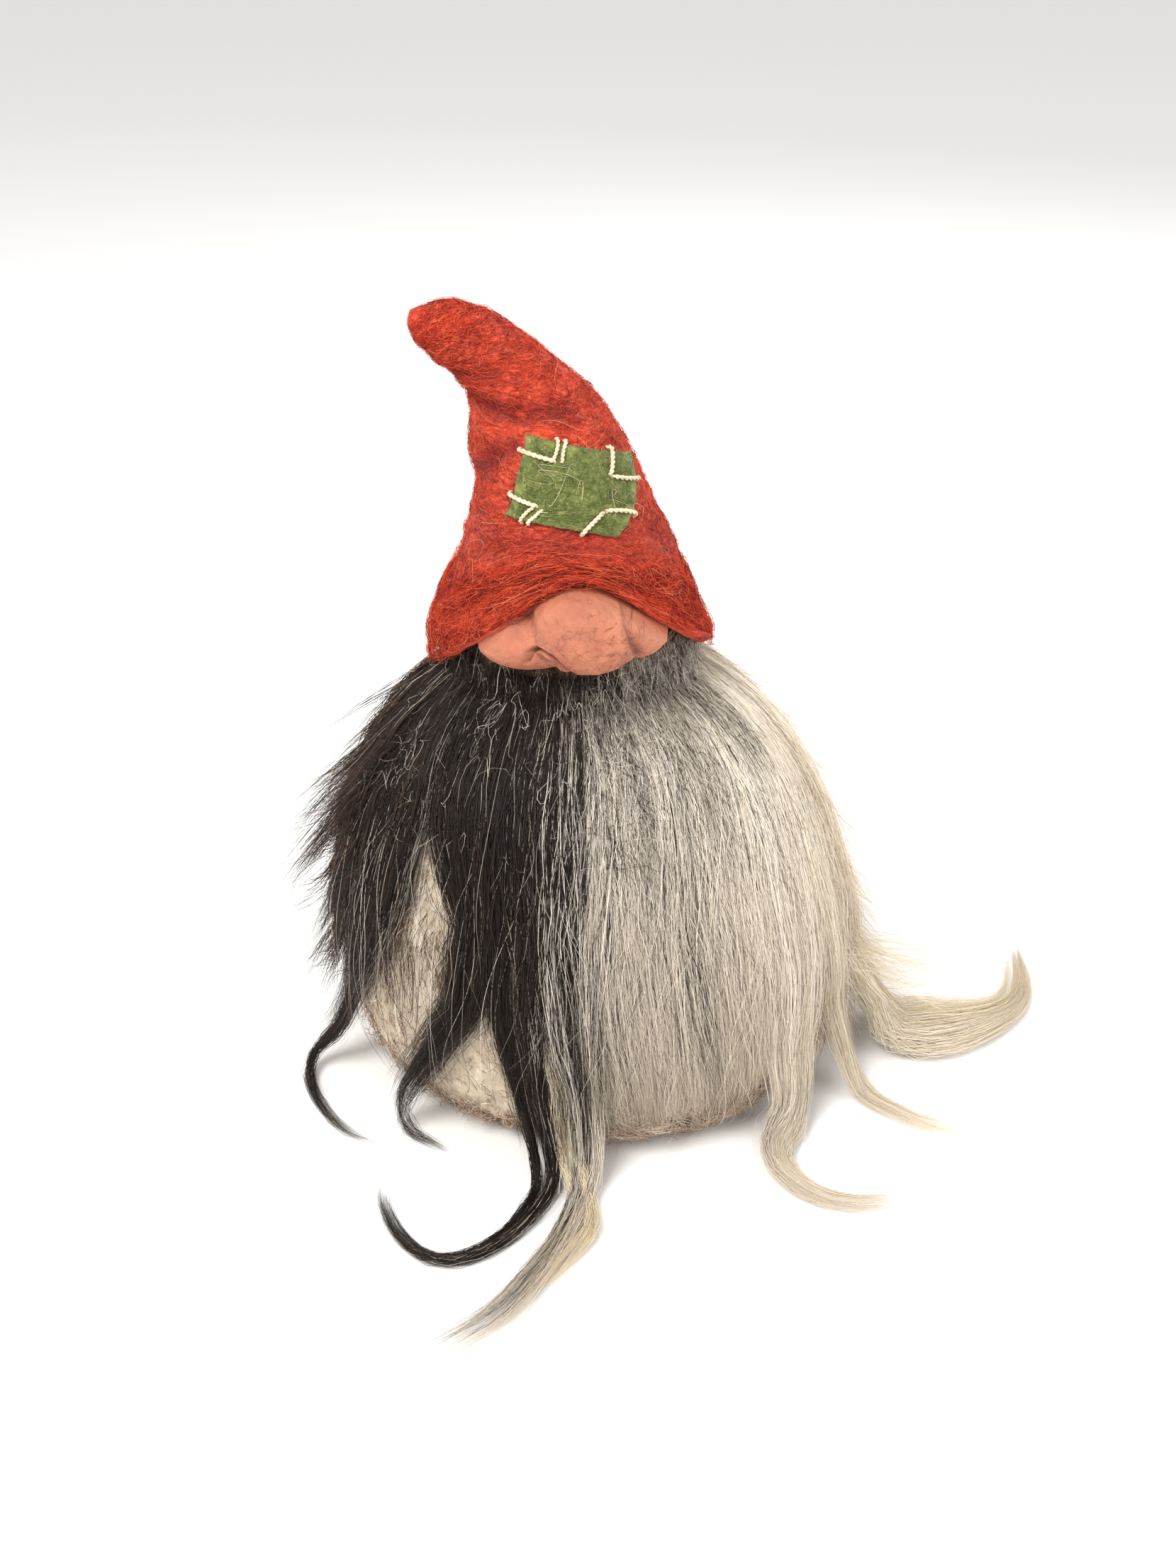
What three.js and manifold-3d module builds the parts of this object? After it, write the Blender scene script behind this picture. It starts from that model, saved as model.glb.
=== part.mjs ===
// Tomte gnome figurine: a weighted, stuffed cloth cone in short fleece, with long wool locks sewn
// round its neck, a fired-clay nose on a peg, and a thick felted hat that pulls off upwards.
// Millimetres, +Z up. The figure faces -Y. The origin is the centre of the base's underside.
import Module from 'manifold-3d';
import * as THREE from 'three';
import { mergeVertices } from 'three/addons/utils/BufferGeometryUtils.js';

// ---- driving dimensions -------------------------------------------------------------------

const GAP = 0.35;              // clearance between pieces that touch
const BODY_RADIUS = 82;        // widest part of the short fleece
const WIDEST_Z = 32;           // height of that widest part
const FOOT_RADIUS = 60;        // fleece where it meets the table
const SHOULDER_HEIGHT = 120;   // semi-axis of the dome above the widest part
const FLEECE_TOP_Z = 141;
const FLEECE_BOTTOM_Z = 1.5;   // the hem hangs just clear of the table
const FLEECE_THICKNESS = 6;
const LEAN = 9;                // how far the neck stands to the figure's right of the base
const NECK_Z = 150;
const COVER_THICKNESS = 1.5;
const BASE_FELT = { radius: 60, thickness: 2 };
const BASE_DISC = { radius: 54, thickness: 3 };
const WEIGHT_BAG = { radius: 50, height: 26, corner: 9 };
const HAIR_BAND = { z: 147, height: 8, thickness: 1.5 };
const NECK_TIE = { z: 152.8, radius: 1 };
const HAT_THICKNESS = 3.5;
const HAT_SEGMENTS = 24;
const BRIM_ARCH = 38;          // how much higher the brim stands over the nose than at the sides
const BRIM_ARCH_RING = 6;      // the hat ring above which the arch has died away
const BRIM_TRIM_RING = 4;      // the hat ring above which the uneven trim has died away
const PATCH_THICKNESS = 1.3;
const STITCH_RADIUS = 0.75;
const NOSE_PEG = { radius: 2, inside: 14, outside: 6 };
const PEG_Z = 171;
const LATHE_SEGMENTS = 28;
const LOCK_LIFT = 1.1;         // clear of the short fleece beneath
const LOCK_SIDES = 6;

// The hat is a stack of ellipses. Each row is one ring: left edge x z, right edge x z, and the
// depth in front of and behind the ring's centre.
const HAT_RINGS = [
  [-52, 142, 34, 147, 45, 44],
  [-53, 151, 33, 153, 45, 44],
  [-51, 160, 30, 161, 44, 42],
  [-47, 169, 27, 170, 42, 38.5],
  [-42.5, 179, 23, 180, 39, 34.5],
  [-39.5, 190, 17.5, 191, 36, 30],
  [-38.5, 200, 12.5, 202, 32, 27],
  [-39.5, 210, 7, 213, 28, 24.5],
  [-39, 220, 1, 223, 24, 21.5],
  [-40, 227, -6, 231, 20, 18.5],
  [-43, 232, -15, 238.5, 16.5, 15.5],
  [-47, 236, -24, 245, 13.5, 13],
  [-51, 239.5, -33, 251, 11, 11],
  [-55, 243.5, -43, 254, 8.5, 8.5],
  [-58, 248, -51, 254, 5, 5],
];
const HAT_TIP_CROWN = new THREE.Vector3(-2.5, 0, 1);

// How unevenly the brim is trimmed: angle from the front in degrees, and height.
const BRIM_TRIM = [
  [-180, 0], [-80, 0], [-60, -3], [-42, -5], [-23, -3], [-7, 2], [4, 3.5], [19, 0], [37, -3], [61, -0.6],
  [80, 0], [180, 0],
];

// The corners of the patch on the hat: ring number and angle from the front, in degrees.
const PATCH_CORNERS = {
  topLeft: [8, -6],
  topRight: [6.7, 78],
  bottomLeft: [5.6, -34],
  bottomRight: [4.5, 28],
};

// ---- small helpers ------------------------------------------------------------------------

const wasm = await Module();
wasm.setup();

const object = new THREE.Group();
const radians = THREE.MathUtils.degToRad;
const lerp = THREE.MathUtils.lerp;

function material(color, roughness, metalness = 0) {
  return new THREE.MeshStandardMaterial({ color, roughness, metalness });
}

const MATERIALS = {
  redFelt: material('#b5382a', 0.95),
  greenFelt: material('#5f7a3c', 0.95),
  yarn: material('#d8c8ac', 0.9),
  clay: material('#d07f62', 0.7),
  wood: material('#c49a63', 0.7),
  card: material('#a98c66', 0.85),
  cloth: material('#cbbfa8', 0.95),
  wadding: material('#e6e2d8', 1),
  baseFelt: material('#b9936f', 0.95),
  creamFleece: material('#cfc4b3', 1),
  darkWool: material('#2f2727', 0.8),
  silverWool: material('#9c9791', 0.8),
  whiteWool: material('#dcd8cf', 0.8),
  creamWool: material('#ddd0ae', 0.8),
  tanWool: material('#cdb59b', 0.85),
};

function addNode(name, geometry, finish) {
  const mesh = new THREE.Mesh(geometry, finish);
  mesh.name = name;
  object.add(mesh);
  return mesh;
}

// Moves every vertex of a geometry to where place(vertex) says.
function reshape(geometry, place) {
  const positions = geometry.attributes.position;
  const vertex = new THREE.Vector3();
  for (let i = 0; i < positions.count; i += 1) {
    vertex.fromBufferAttribute(positions, i);
    const moved = place(vertex);
    positions.setXYZ(i, moved.x, moved.y, moved.z);
  }
  return geometry;
}

// Turns [radius, height] pairs round Z.
function turned(profile, segments = LATHE_SEGMENTS) {
  const outline = profile.map(([radius, height]) => new THREE.Vector2(radius, height));
  return new THREE.LatheGeometry(outline, segments).rotateX(Math.PI / 2);
}

function leanX(z) {
  return (-LEAN * Math.min(z, NECK_Z)) / NECK_Z;
}

function leaning(geometry) {
  return reshape(geometry, (v) => v.clone().setX(v.x + leanX(v.z)));
}

function toSolid(geometry) {
  const plain = geometry.clone();
  plain.deleteAttribute('normal');
  plain.deleteAttribute('uv');
  const merged = mergeVertices(plain, 1e-4);
  return new wasm.Manifold(new wasm.Mesh({
    numProp: 3,
    vertProperties: new Float32Array(merged.attributes.position.array),
    triVerts: new Uint32Array(merged.index.array),
  }));
}

function toGeometry(solid) {
  const mesh = solid.getMesh();
  const geometry = new THREE.BufferGeometry();
  geometry.setAttribute('position', new THREE.BufferAttribute(mesh.vertProperties, 3));
  geometry.setIndex(new THREE.BufferAttribute(mesh.triVerts, 1));
  return geometry;
}

function heights(from, to, count) {
  return Array.from({ length: count + 1 }, (_, i) => lerp(from, to, i / count));
}

// ---- the body's surfaces -------------------------------------------------------------------

// Outside of the short fleece.
function fleeceRadius(z) {
  if (z < WIDEST_Z) {
    const drop = (WIDEST_Z - z) / WIDEST_Z;
    return FOOT_RADIUS + (BODY_RADIUS - FOOT_RADIUS) * Math.sqrt(1 - drop * drop);
  }
  const rise = (z - WIDEST_Z) / SHOULDER_HEIGHT;
  return BODY_RADIUS * Math.sqrt(Math.max(0, 1 - rise * rise));
}

// Outside of the sewn cloth cone: the body below, the head form inside the hat above.
const HEAD_FORM = [[33, 137], [32, 150], [30, 165], [23.5, 188], [16, 204], [8, 212], [0, 214]];
const HEAD_START_Z = HEAD_FORM[0][1];

function coverRadius(z) {
  if (z < HEAD_START_Z) {
    return Math.max(HEAD_FORM[0][0], fleeceRadius(z) - FLEECE_THICKNESS - GAP);
  }
  const above = HEAD_FORM.findIndex((point) => point[1] >= z);
  const [upper, upperZ] = HEAD_FORM[Math.max(above, 1)];
  const [lower, lowerZ] = HEAD_FORM[Math.max(above, 1) - 1];
  return lerp(lower, upper, (z - lowerZ) / (upperZ - lowerZ));
}

const COVER_BOTTOM_Z = BASE_FELT.thickness + GAP;
const COVER_ROWS = [
  ...heights(COVER_BOTTOM_Z, HEAD_START_Z, 8),
  ...HEAD_FORM.slice(1).map((point) => point[1]),
];

function insideCover(z, inset) {
  return Math.max(0, coverRadius(z) - COVER_THICKNESS - inset);
}

// A point over the fleece: angle from the front, turning towards +X, with lift above the fleece.
function overFleece(angle, z, lift) {
  const radius = Math.max(fleeceRadius(z), coverRadius(Math.min(z, 213)) + HAIR_BAND.thickness + GAP) + lift;
  return new THREE.Vector3(
    leanX(z) + radius * Math.sin(radians(angle)),
    -radius * Math.cos(radians(angle)),
    z,
  );
}

// ---- base, weight and stuffing --------------------------------------------------------------

const DISC_TOP_Z = COVER_BOTTOM_Z + BASE_DISC.thickness;
const BAG_BOTTOM_Z = DISC_TOP_Z + GAP;
const BAG_TOP_Z = BAG_BOTTOM_Z + WEIGHT_BAG.height;
const STUFFING_TOP_Z = HEAD_FORM[4][1];

function addBase() {
  const felt = [[0, 0], [BASE_FELT.radius, 0], [BASE_FELT.radius, BASE_FELT.thickness]];
  addNode('base_felt', turned([...felt, [0, BASE_FELT.thickness]]), MATERIALS.baseFelt);
  const disc = [[0, COVER_BOTTOM_Z], [BASE_DISC.radius, COVER_BOTTOM_Z], [BASE_DISC.radius, DISC_TOP_Z]];
  addNode('base_disc', turned([...disc, [0, DISC_TOP_Z]]), MATERIALS.card);
}

function addWeightBag() {
  const { radius, corner } = WEIGHT_BAG;
  const outline = [[0, BAG_BOTTOM_Z], [radius - corner, BAG_BOTTOM_Z]];
  outline.push([radius, BAG_BOTTOM_Z + corner], [radius, BAG_TOP_Z - corner]);
  outline.push([radius - corner, BAG_TOP_Z], [0, BAG_TOP_Z]);
  addNode('weight_bag', leaning(turned(outline, 24)), MATERIALS.cloth);
}

function addStuffing(pegHole) {
  const bottom = BAG_TOP_Z + GAP;
  const rows = COVER_ROWS.filter((z) => z > bottom && z <= STUFFING_TOP_Z);
  const side = rows.map((z) => [insideCover(z, GAP), z]);
  const edge = [insideCover(bottom, 4 * GAP), bottom];
  const outline = [[0, bottom], edge, ...side, [0, STUFFING_TOP_Z]];
  const wadding = toSolid(leaning(turned(outline)));
  addNode('body_stuffing', toGeometry(wadding.subtract(pegHole)), MATERIALS.wadding);
}

function addCover(pegHole) {
  const outside = COVER_ROWS.map((z) => [coverRadius(z), z]);
  const innerRows = COVER_ROWS.filter((z) => z <= STUFFING_TOP_Z).reverse();
  const inside = innerRows.map((z) => [insideCover(z, 0), z]);
  const crown = [0, STUFFING_TOP_Z + 5];
  const cover = toSolid(leaning(turned([crown, ...inside, ...outside])));
  addNode('body_cover', toGeometry(cover.subtract(pegHole)), MATERIALS.cloth);
}

function addFleece() {
  const outside = heights(FLEECE_BOTTOM_Z, FLEECE_TOP_Z, 10).map((z) => [fleeceRadius(z), z]);
  const innerRows = [FLEECE_TOP_Z, ...COVER_ROWS.filter((z) => z <= HEAD_START_Z).reverse()];
  const inside = innerRows.map((z) => [coverRadius(z) + GAP, z]);
  const foot = [coverRadius(COVER_BOTTOM_Z) + GAP, FLEECE_BOTTOM_Z];
  const outline = [...outside, ...inside, foot, outside[0]];
  addNode('body_fleece', leaning(turned(outline)), MATERIALS.creamFleece);
}

function addNeckFastenings() {
  const { z, height, thickness } = HAIR_BAND;
  const top = z + height / 2;
  const bottom = z - height / 2;
  const inner = coverRadius(bottom) + GAP;
  const outline = [[inner, bottom], [inner + thickness, bottom], [inner + thickness, top], [inner, top]];
  addNode('hair_band', leaning(turned([...outline, outline[0]], 32)), MATERIALS.tanWool);
  const tieRadius = coverRadius(NECK_TIE.z) + GAP + NECK_TIE.radius + 0.2;
  const tie = new THREE.TorusGeometry(tieRadius, NECK_TIE.radius, 6, 32);
  tie.translate(leanX(NECK_TIE.z), 0, NECK_TIE.z);
  addNode('neck_tie', tie, MATERIALS.yarn);
}

// ---- hat --------------------------------------------------------------------------------------

const LAST_RING = HAT_RINGS.length - 1;

function ringValue(ring, column) {
  const low = Math.min(Math.floor(Math.max(ring, 0)), LAST_RING - 1);
  return lerp(HAT_RINGS[low][column], HAT_RINGS[low + 1][column], Math.max(ring, 0) - low);
}

// How far the brim is lifted at an angle from the front: a soft arch over the nose.
function brimLift(angle) {
  const share = Math.cos(angle * 0.9);
  return share > 0 ? BRIM_ARCH * share * share : 0;
}

function brimTrim(angle) {
  const degrees = THREE.MathUtils.radToDeg(angle);
  const next = Math.max(1, BRIM_TRIM.findIndex((point) => point[0] >= degrees));
  const [from, low] = BRIM_TRIM[next - 1];
  const [to, high] = BRIM_TRIM[next];
  return lerp(low, high, (degrees - from) / (to - from));
}

// A point of the hat: ring number, angle from the front towards +X, and inset from the outside.
function hatPoint(ring, angle, inset) {
  const leftX = ringValue(ring, 0);
  const leftZ = ringValue(ring, 1);
  const rightX = ringValue(ring, 2);
  const rightZ = ringValue(ring, 3);
  const halfWidth = Math.hypot(rightX - leftX, rightZ - leftZ) / 2;
  const depth = ringValue(ring, Math.cos(angle) > 0 ? 4 : 5);
  const across = Math.sin(angle) * Math.max(0, 1 - inset / halfWidth);
  const x = (leftX + rightX) / 2 + (across * (rightX - leftX)) / 2;
  let z = (leftZ + rightZ) / 2 + (across * (rightZ - leftZ)) / 2;
  const archShare = Math.max(0, 1 - ring / BRIM_ARCH_RING);
  z += brimLift(angle) * archShare + brimTrim(angle) * Math.max(0, 1 - ring / BRIM_TRIM_RING);
  return new THREE.Vector3(x, -Math.cos(angle) * Math.max(0, depth - inset), z);
}

// The felt shell, made thicker by clearance all round. The lathe's radius says which skin a vertex
// is on: 0 the middle, 1 the inside, 2 the outside.
function hatShell(clearance) {
  const innerTop = LAST_RING - 3;
  const skins = [[0, innerTop]];
  for (let ring = innerTop; ring >= 0; ring -= 1) {
    skins.push([1, ring]);
  }
  for (let ring = 0; ring <= LAST_RING; ring += 1) {
    skins.push([2, ring]);
  }
  skins.push([0, LAST_RING]);
  return reshape(turned(skins, HAT_SEGMENTS), (v) => {
    const skin = Math.round(Math.hypot(v.x, v.y));
    const angle = Math.atan2(v.x, -v.y);
    if (skin > 0) {
      const inset = skin === 1 ? HAT_THICKNESS + clearance : -clearance;
      const point = hatPoint(v.z, angle, inset);
      return v.z < 0.5 ? point.setZ(point.z - clearance) : point;
    }
    const middle = hatPoint(v.z, -Math.PI / 2, 0).add(hatPoint(v.z, Math.PI / 2, 0)).multiplyScalar(0.5);
    return v.z === LAST_RING ? middle.add(HAT_TIP_CROWN) : middle;
  });
}

// Loose wool that keeps the top of the hat up. It stays in the hat when the hat comes off.
function addHatWadding() {
  const lowest = 8;
  const highest = LAST_RING - 4;
  const outline = [[0, lowest]];
  for (let ring = lowest; ring <= highest; ring += 1) {
    outline.push([1, ring]);
  }
  outline.push([0, highest]);
  const wadding = reshape(turned(outline, 20), (v) => {
    const angle = Math.atan2(v.x, -v.y);
    if (Math.hypot(v.x, v.y) > 0.5) {
      return hatPoint(v.z, angle, HAT_THICKNESS + 1);
    }
    return hatPoint(v.z, -Math.PI / 2, 0).add(hatPoint(v.z, Math.PI / 2, 0)).multiplyScalar(0.5);
  });
  addNode('hat_wadding', wadding, MATERIALS.wadding);
}

function addHat() {
  addNode('hat', hatShell(0), MATERIALS.redFelt);
}

// ---- patch and its stitches ------------------------------------------------------------------

// A point over the patch: u across from the left edge, v up from the bottom edge, both 0 to 1.
function overPatch(u, v, lift) {
  const { topLeft, topRight, bottomLeft, bottomRight } = PATCH_CORNERS;
  const blend = (i) => lerp(
    lerp(bottomLeft[i], bottomRight[i], u),
    lerp(topLeft[i], topRight[i], u),
    v,
  );
  const ring = blend(0);
  const angle = radians(blend(1));
  const here = hatPoint(ring, angle, 0);
  const alongRing = hatPoint(ring, angle + 0.02, 0).sub(here);
  const upRing = hatPoint(ring + 0.1, angle, 0).sub(here);
  const normal = alongRing.cross(upRing).normalize();
  return here.addScaledVector(normal, lift);
}

function addPatch() {
  const patch = new THREE.BoxGeometry(1, 1, 1, 10, 8, 1);
  reshape(patch, (p) => overPatch(p.x + 0.5, p.y + 0.5, GAP + (p.z + 0.5) * PATCH_THICKNESS));
  addNode('patch', patch, MATERIALS.greenFelt);
}

// Two stitches box each corner: both start at one inner hole and run out over an edge. Each row is
// the corner's u v and the hole's u v.
const STITCH_OVERHANG = 0.045;
const STITCHES = {
  top_left: [0, 1, 0.27, 0.81],
  top_right: [1, 1, 0.7, 0.76],
  bottom_left: [0, 0, 0.22, 0.32],
  bottom_right: [1, 0, 0.74, 0.36],
};

function stitchCurve(start, end) {
  const onTop = PATCH_THICKNESS + 3 * GAP + STITCH_RADIUS;
  const overEdge = onTop - 0.4 * PATCH_THICKNESS;
  const points = [0, 0.25, 0.5, 0.75, 1].map((t) => {
    const lift = t === 1 ? overEdge : onTop;
    return overPatch(lerp(start[0], end[0], t), lerp(start[1], end[1], t), lift);
  });
  return new THREE.CatmullRomCurve3(points);
}

function addStitches() {
  const section = new THREE.Shape();
  section.absellipse(0, 0, STITCH_RADIUS, STITCH_RADIUS, 0, Math.PI * 2);
  for (const [corner, [u, v, holeU, holeV]] of Object.entries(STITCHES)) {
    const sideways = lerp(holeU, u, 0.26);
    const upwards = lerp(holeV, v, 0.26);
    const outU = u === 0 ? -STITCH_OVERHANG : 1 + STITCH_OVERHANG;
    const outV = v === 0 ? -STITCH_OVERHANG : 1 + STITCH_OVERHANG;
    const runs = {
      side: [[sideways, holeV], [outU, holeV]],
      end: [[holeU, upwards], [holeU, outV]],
    };
    for (const [run, [start, end]] of Object.entries(runs)) {
      const extrudePath = stitchCurve(start, end);
      const options = { steps: 6, curveSegments: 3, bevelEnabled: false, extrudePath };
      addNode(`stitch_${corner}_${run}`, new THREE.ExtrudeGeometry(section, options), MATERIALS.yarn);
    }
  }
}

// ---- nose -------------------------------------------------------------------------------------

// Soft lumps of clay that run into each other: centre and radii.
const NOSE_LUMPS = [
  [[-3.5, -44, 169], [17, 14.5, 14]],
  [[-21, -37, 162.5], [16, 9.5, 9]],
  [[10.5, -37, 166.5], [10.5, 9, 9]],
  [[-6, -35, 172], [19, 9, 9]],
];

function addNose(pegHole) {
  const lump = ([centre, radii]) => {
    const ball = new THREE.SphereGeometry(1, 12, 8);
    return toSolid(ball.scale(...radii).translate(...centre));
  };
  const clay = NOSE_LUMPS.map(lump).reduce((sum, next) => sum.add(next));
  const headOutline = [[0, 140]];
  for (const z of COVER_ROWS.filter((row) => row > 140)) {
    headOutline.push([coverRadius(z) + (z < 214 ? GAP : 0), z]);
  }
  const head = toSolid(leaning(turned(headOutline)));
  const brim = toSolid(hatShell(GAP));
  addNode('nose', toGeometry(clay.subtract(head).subtract(brim).subtract(pegHole)), MATERIALS.clay);
}

function pegCylinder(radius, margin) {
  const length = NOSE_PEG.inside + NOSE_PEG.outside + 2 * margin;
  const middle = -coverRadius(PEG_Z) + (NOSE_PEG.inside - NOSE_PEG.outside) / 2;
  return new THREE.CylinderGeometry(radius, radius, length, 12).translate(leanX(PEG_Z), middle, PEG_Z);
}

function addNosePeg() {
  addNode('nose_peg', pegCylinder(NOSE_PEG.radius, 0), MATERIALS.wood);
}

// ---- wool locks --------------------------------------------------------------------------------

// Each station is on the body, as body(angle, height, width, thickness), in the air beside it, as
// hang(x, y, z, width, thickness), or on the table, as table(x, y, width, thickness).
function outwardAt(angle) {
  return new THREE.Vector3(Math.sin(radians(angle)), -Math.cos(radians(angle)), 0.15).normalize();
}

function body(angle, z, width, thickness) {
  const centre = overFleece(angle, z, LOCK_LIFT + thickness / 2);
  return { centre, outward: outwardAt(angle), width, thickness, angle, z };
}

function hang(x, y, z, width, thickness) {
  const angle = THREE.MathUtils.radToDeg(Math.atan2(x, -y));
  return { centre: new THREE.Vector3(x, y, z), outward: outwardAt(angle), width, thickness };
}

function table(x, y, width, thickness) {
  const centre = new THREE.Vector3(x, y, LOCK_LIFT + thickness / 2);
  return { centre, outward: new THREE.Vector3(0, 0, 1), width, thickness };
}

// Stations halfway between those on the body, so that a lock keeps to its curve.
function followingBody(stations) {
  const halfway = (a, b, key) => lerp(a[key], b[key], 0.5);
  return stations.flatMap((here, i) => {
    const next = stations[i + 1];
    if (here.z === undefined || next === undefined || next.z === undefined) {
      return [here];
    }
    const between = ['angle', 'z', 'width', 'thickness'].map((key) => halfway(here, next, key));
    return [here, body(...between)];
  });
}

// A flattened tube through the stations, one row of vertices at each.
function addLock(name, finish, handStations) {
  const stations = followingBody(handStations);
  const rows = stations.length - 1;
  const middle = new THREE.CatmullRomCurve3(stations.map((s) => s.centre), false, 'centripetal');
  const lock = new THREE.CylinderGeometry(1, 1, 1, LOCK_SIDES, rows);
  reshape(lock, (v) => {
    const t = v.y + 0.5;
    const { centre, outward, width, thickness } = stations[Math.round(t * rows)];
    const along = middle.getTangent(t);
    const sideways = along.clone().cross(outward).normalize();
    const normal = sideways.clone().cross(along).normalize();
    return centre.clone()
      .addScaledVector(sideways, (v.x * width) / 2)
      .addScaledVector(normal, (v.z * thickness) / 2);
  });
  addNode(name, lock, finish);
}

const LOCKS = {
  lock_left_wisps: [MATERIALS.darkWool, [
    body(-84, 149, 11, 1.4), body(-84, 136, 12, 2.3), body(-82, 112, 18, 5), body(-79, 84, 24, 5),
    body(-87, 56, 18, 4), body(-87, 34, 10, 3),
  ]],
  lock_left_curl: [MATERIALS.darkWool, [
    body(-62, 149, 11, 1.4), body(-61, 136, 12, 2.3), body(-55, 110, 20, 5), body(-54, 84, 18, 5),
    body(-59, 58, 13, 4.5), body(-68, 34, 8, 4), hang(-88, -30, 17, 6, 3), hang(-97, -30, 7, 5, 3),
    table(-97, -40, 4.5, 2.6), table(-90, -56, 3.6, 2.2), table(-80, -68, 2.6, 1.6),
    table(-67, -74, 1.2, 1),
  ]],
  lock_dark_middle: [MATERIALS.darkWool, [
    body(-38, 149, 11, 1.4), body(-37, 136, 12, 2.3), body(-32, 110, 14, 5), body(-25, 84, 10, 5),
    body(-27, 58, 10, 5), body(-38, 32, 8, 4), hang(-64, -63, 12, 7, 3), table(-62, -66, 5, 2.4),
    table(-55, -71, 3, 1.8), table(-45, -79, 1.2, 1),
  ]],
  lock_dark_curl: [MATERIALS.darkWool, [
    body(-16, 149, 9, 1.4), body(-16, 136, 10, 2.3), body(-16, 110, 14, 6), body(-14, 84, 15, 6),
    body(-15, 58, 14, 5.5), body(-13, 32, 10, 5), hang(-17, -89, 13, 8, 4), table(-16, -95, 7.5, 3.6),
    table(-20, -105, 7, 3.4), table(-28, -118, 6, 3.2), table(-39, -127, 5, 3), table(-51, -127, 4, 2.4),
    table(-61, -116, 3, 2), table(-67, -101, 2.2, 1.4), table(-68, -86, 1.2, 1),
  ]],
  lock_silver: [MATERIALS.silverWool, [
    body(1, 149, 9, 1.4), body(1, 136, 10, 2.3), body(-1, 110, 14, 5), body(-3, 84, 16, 5),
    body(-3, 58, 13, 5), body(-2, 32, 9, 4.6), hang(-4, -90, 13, 8, 4), table(-5, -96, 7.5, 3.6),
    table(-8, -108, 6.5, 3.2), table(-14, -124, 5.5, 3), table(-27, -148, 4.2, 2.4),
    table(-41, -161, 2.8, 1.6), table(-54, -173, 1.2, 1),
  ]],
  lock_grey: [MATERIALS.silverWool, [
    body(18, 149, 10, 1.4), body(17, 136, 11, 2.3), body(14, 110, 15, 5), body(12, 84, 19, 5),
    body(12, 58, 18, 4.5), body(13, 26, 13, 3),
    body(13, 11, 11, 2),
  ]],
  lock_white: [MATERIALS.whiteWool, [
    body(40, 149, 11, 1.4), body(39, 136, 13, 2.3), body(34, 110, 19, 5.5), body(31, 84, 23, 5.5),
    body(30, 58, 20, 5), body(31, 24, 13, 3),
    body(31, 11, 11, 2),
  ]],
  lock_cream_curl: [MATERIALS.creamWool, [
    body(63, 149, 11, 1.4), body(61, 136, 12, 2.3), body(55, 110, 19, 6), body(51, 84, 24, 6),
    body(49, 58, 20, 6), body(46, 32, 13, 5), hang(61, -64, 13, 10, 4), table(58, -70, 9, 3.6),
    table(56, -80, 8, 3.4), table(60, -92, 6.5, 3), table(71, -101, 5, 2.4), table(86, -102, 3.2, 1.8),
    table(102, -97, 1.2, 1),
  ]],
  lock_cream_forward: [MATERIALS.creamWool, [
    body(85, 149, 11, 1.4), body(82, 136, 12, 2.3), body(76, 110, 19, 6), body(71, 84, 24, 6),
    body(68, 58, 20, 6), body(66, 32, 12, 5), hang(82, -40, 13, 9, 4), table(88, -46, 7.5, 3),
    table(97, -56, 5.5, 2.6), table(109, -64, 3.6, 1.8), table(126, -67, 1.2, 1),
  ]],
  lock_cream_wide: [MATERIALS.creamWool, [
    body(106, 149, 11, 1.4), body(103, 136, 12, 2.3), body(97, 110, 18, 6), body(92, 84, 23, 6.5),
    body(90, 58, 24, 7), body(88, 34, 22, 7), hang(94, -6, 15, 22, 7), table(104, -12, 24, 7),
    table(117, -11, 22, 6.5), table(131, -6, 16, 5.5), table(144, 2, 9, 4), table(151, 14, 6, 2.6),
    table(154, 32, 3.4, 1.8), table(156, 54, 1.2, 1),
  ]],
};

// The back of the figure, dark round to its right side and cream round to its left.
const BACK_LOCKS = [
  ['lock_back_left', MATERIALS.creamWool, 128, 122],
  ['lock_back_cream', MATERIALS.whiteWool, 150, 148],
  ['lock_back_middle', MATERIALS.silverWool, 172, 173],
  ['lock_back_grey', MATERIALS.silverWool, 194, 197],
  ['lock_back_dark', MATERIALS.darkWool, 216, 222],
  ['lock_back_right', MATERIALS.darkWool, 241, 248],
];

function addLocks() {
  for (const [name, [finish, stations]] of Object.entries(LOCKS)) {
    addLock(name, finish, stations);
  }
  for (const [name, finish, top, foot] of BACK_LOCKS) {
    const angles = heights(top, foot, 5);
    addLock(name, finish, [
      body(angles[0], 149, 11, 1.4), body(angles[1], 136, 13, 2.3), body(angles[2], 110, 21, 5),
      body(angles[3], 84, 27, 5.5), body(angles[4], 56, 27, 5), body(angles[5], 22, 12, 3),
    ]);
  }
}

// ---- the whole figure ---------------------------------------------------------------------------

const pegHole = toSolid(pegCylinder(NOSE_PEG.radius + GAP, GAP));

addBase();
addWeightBag();
addStuffing(pegHole);
addCover(pegHole);
addFleece();
addNeckFastenings();
addNose(pegHole);
addNosePeg();
addLocks();
addHat();
addHatWadding();
addPatch();
addStitches();

export default object;
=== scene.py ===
"""A tomte gnome figurine: the looks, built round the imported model.

Lengths in this file are millimetres until a mesh is made; MM turns them into metres.
+Z is up and the figure faces -Y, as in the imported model.
"""
import math

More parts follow.
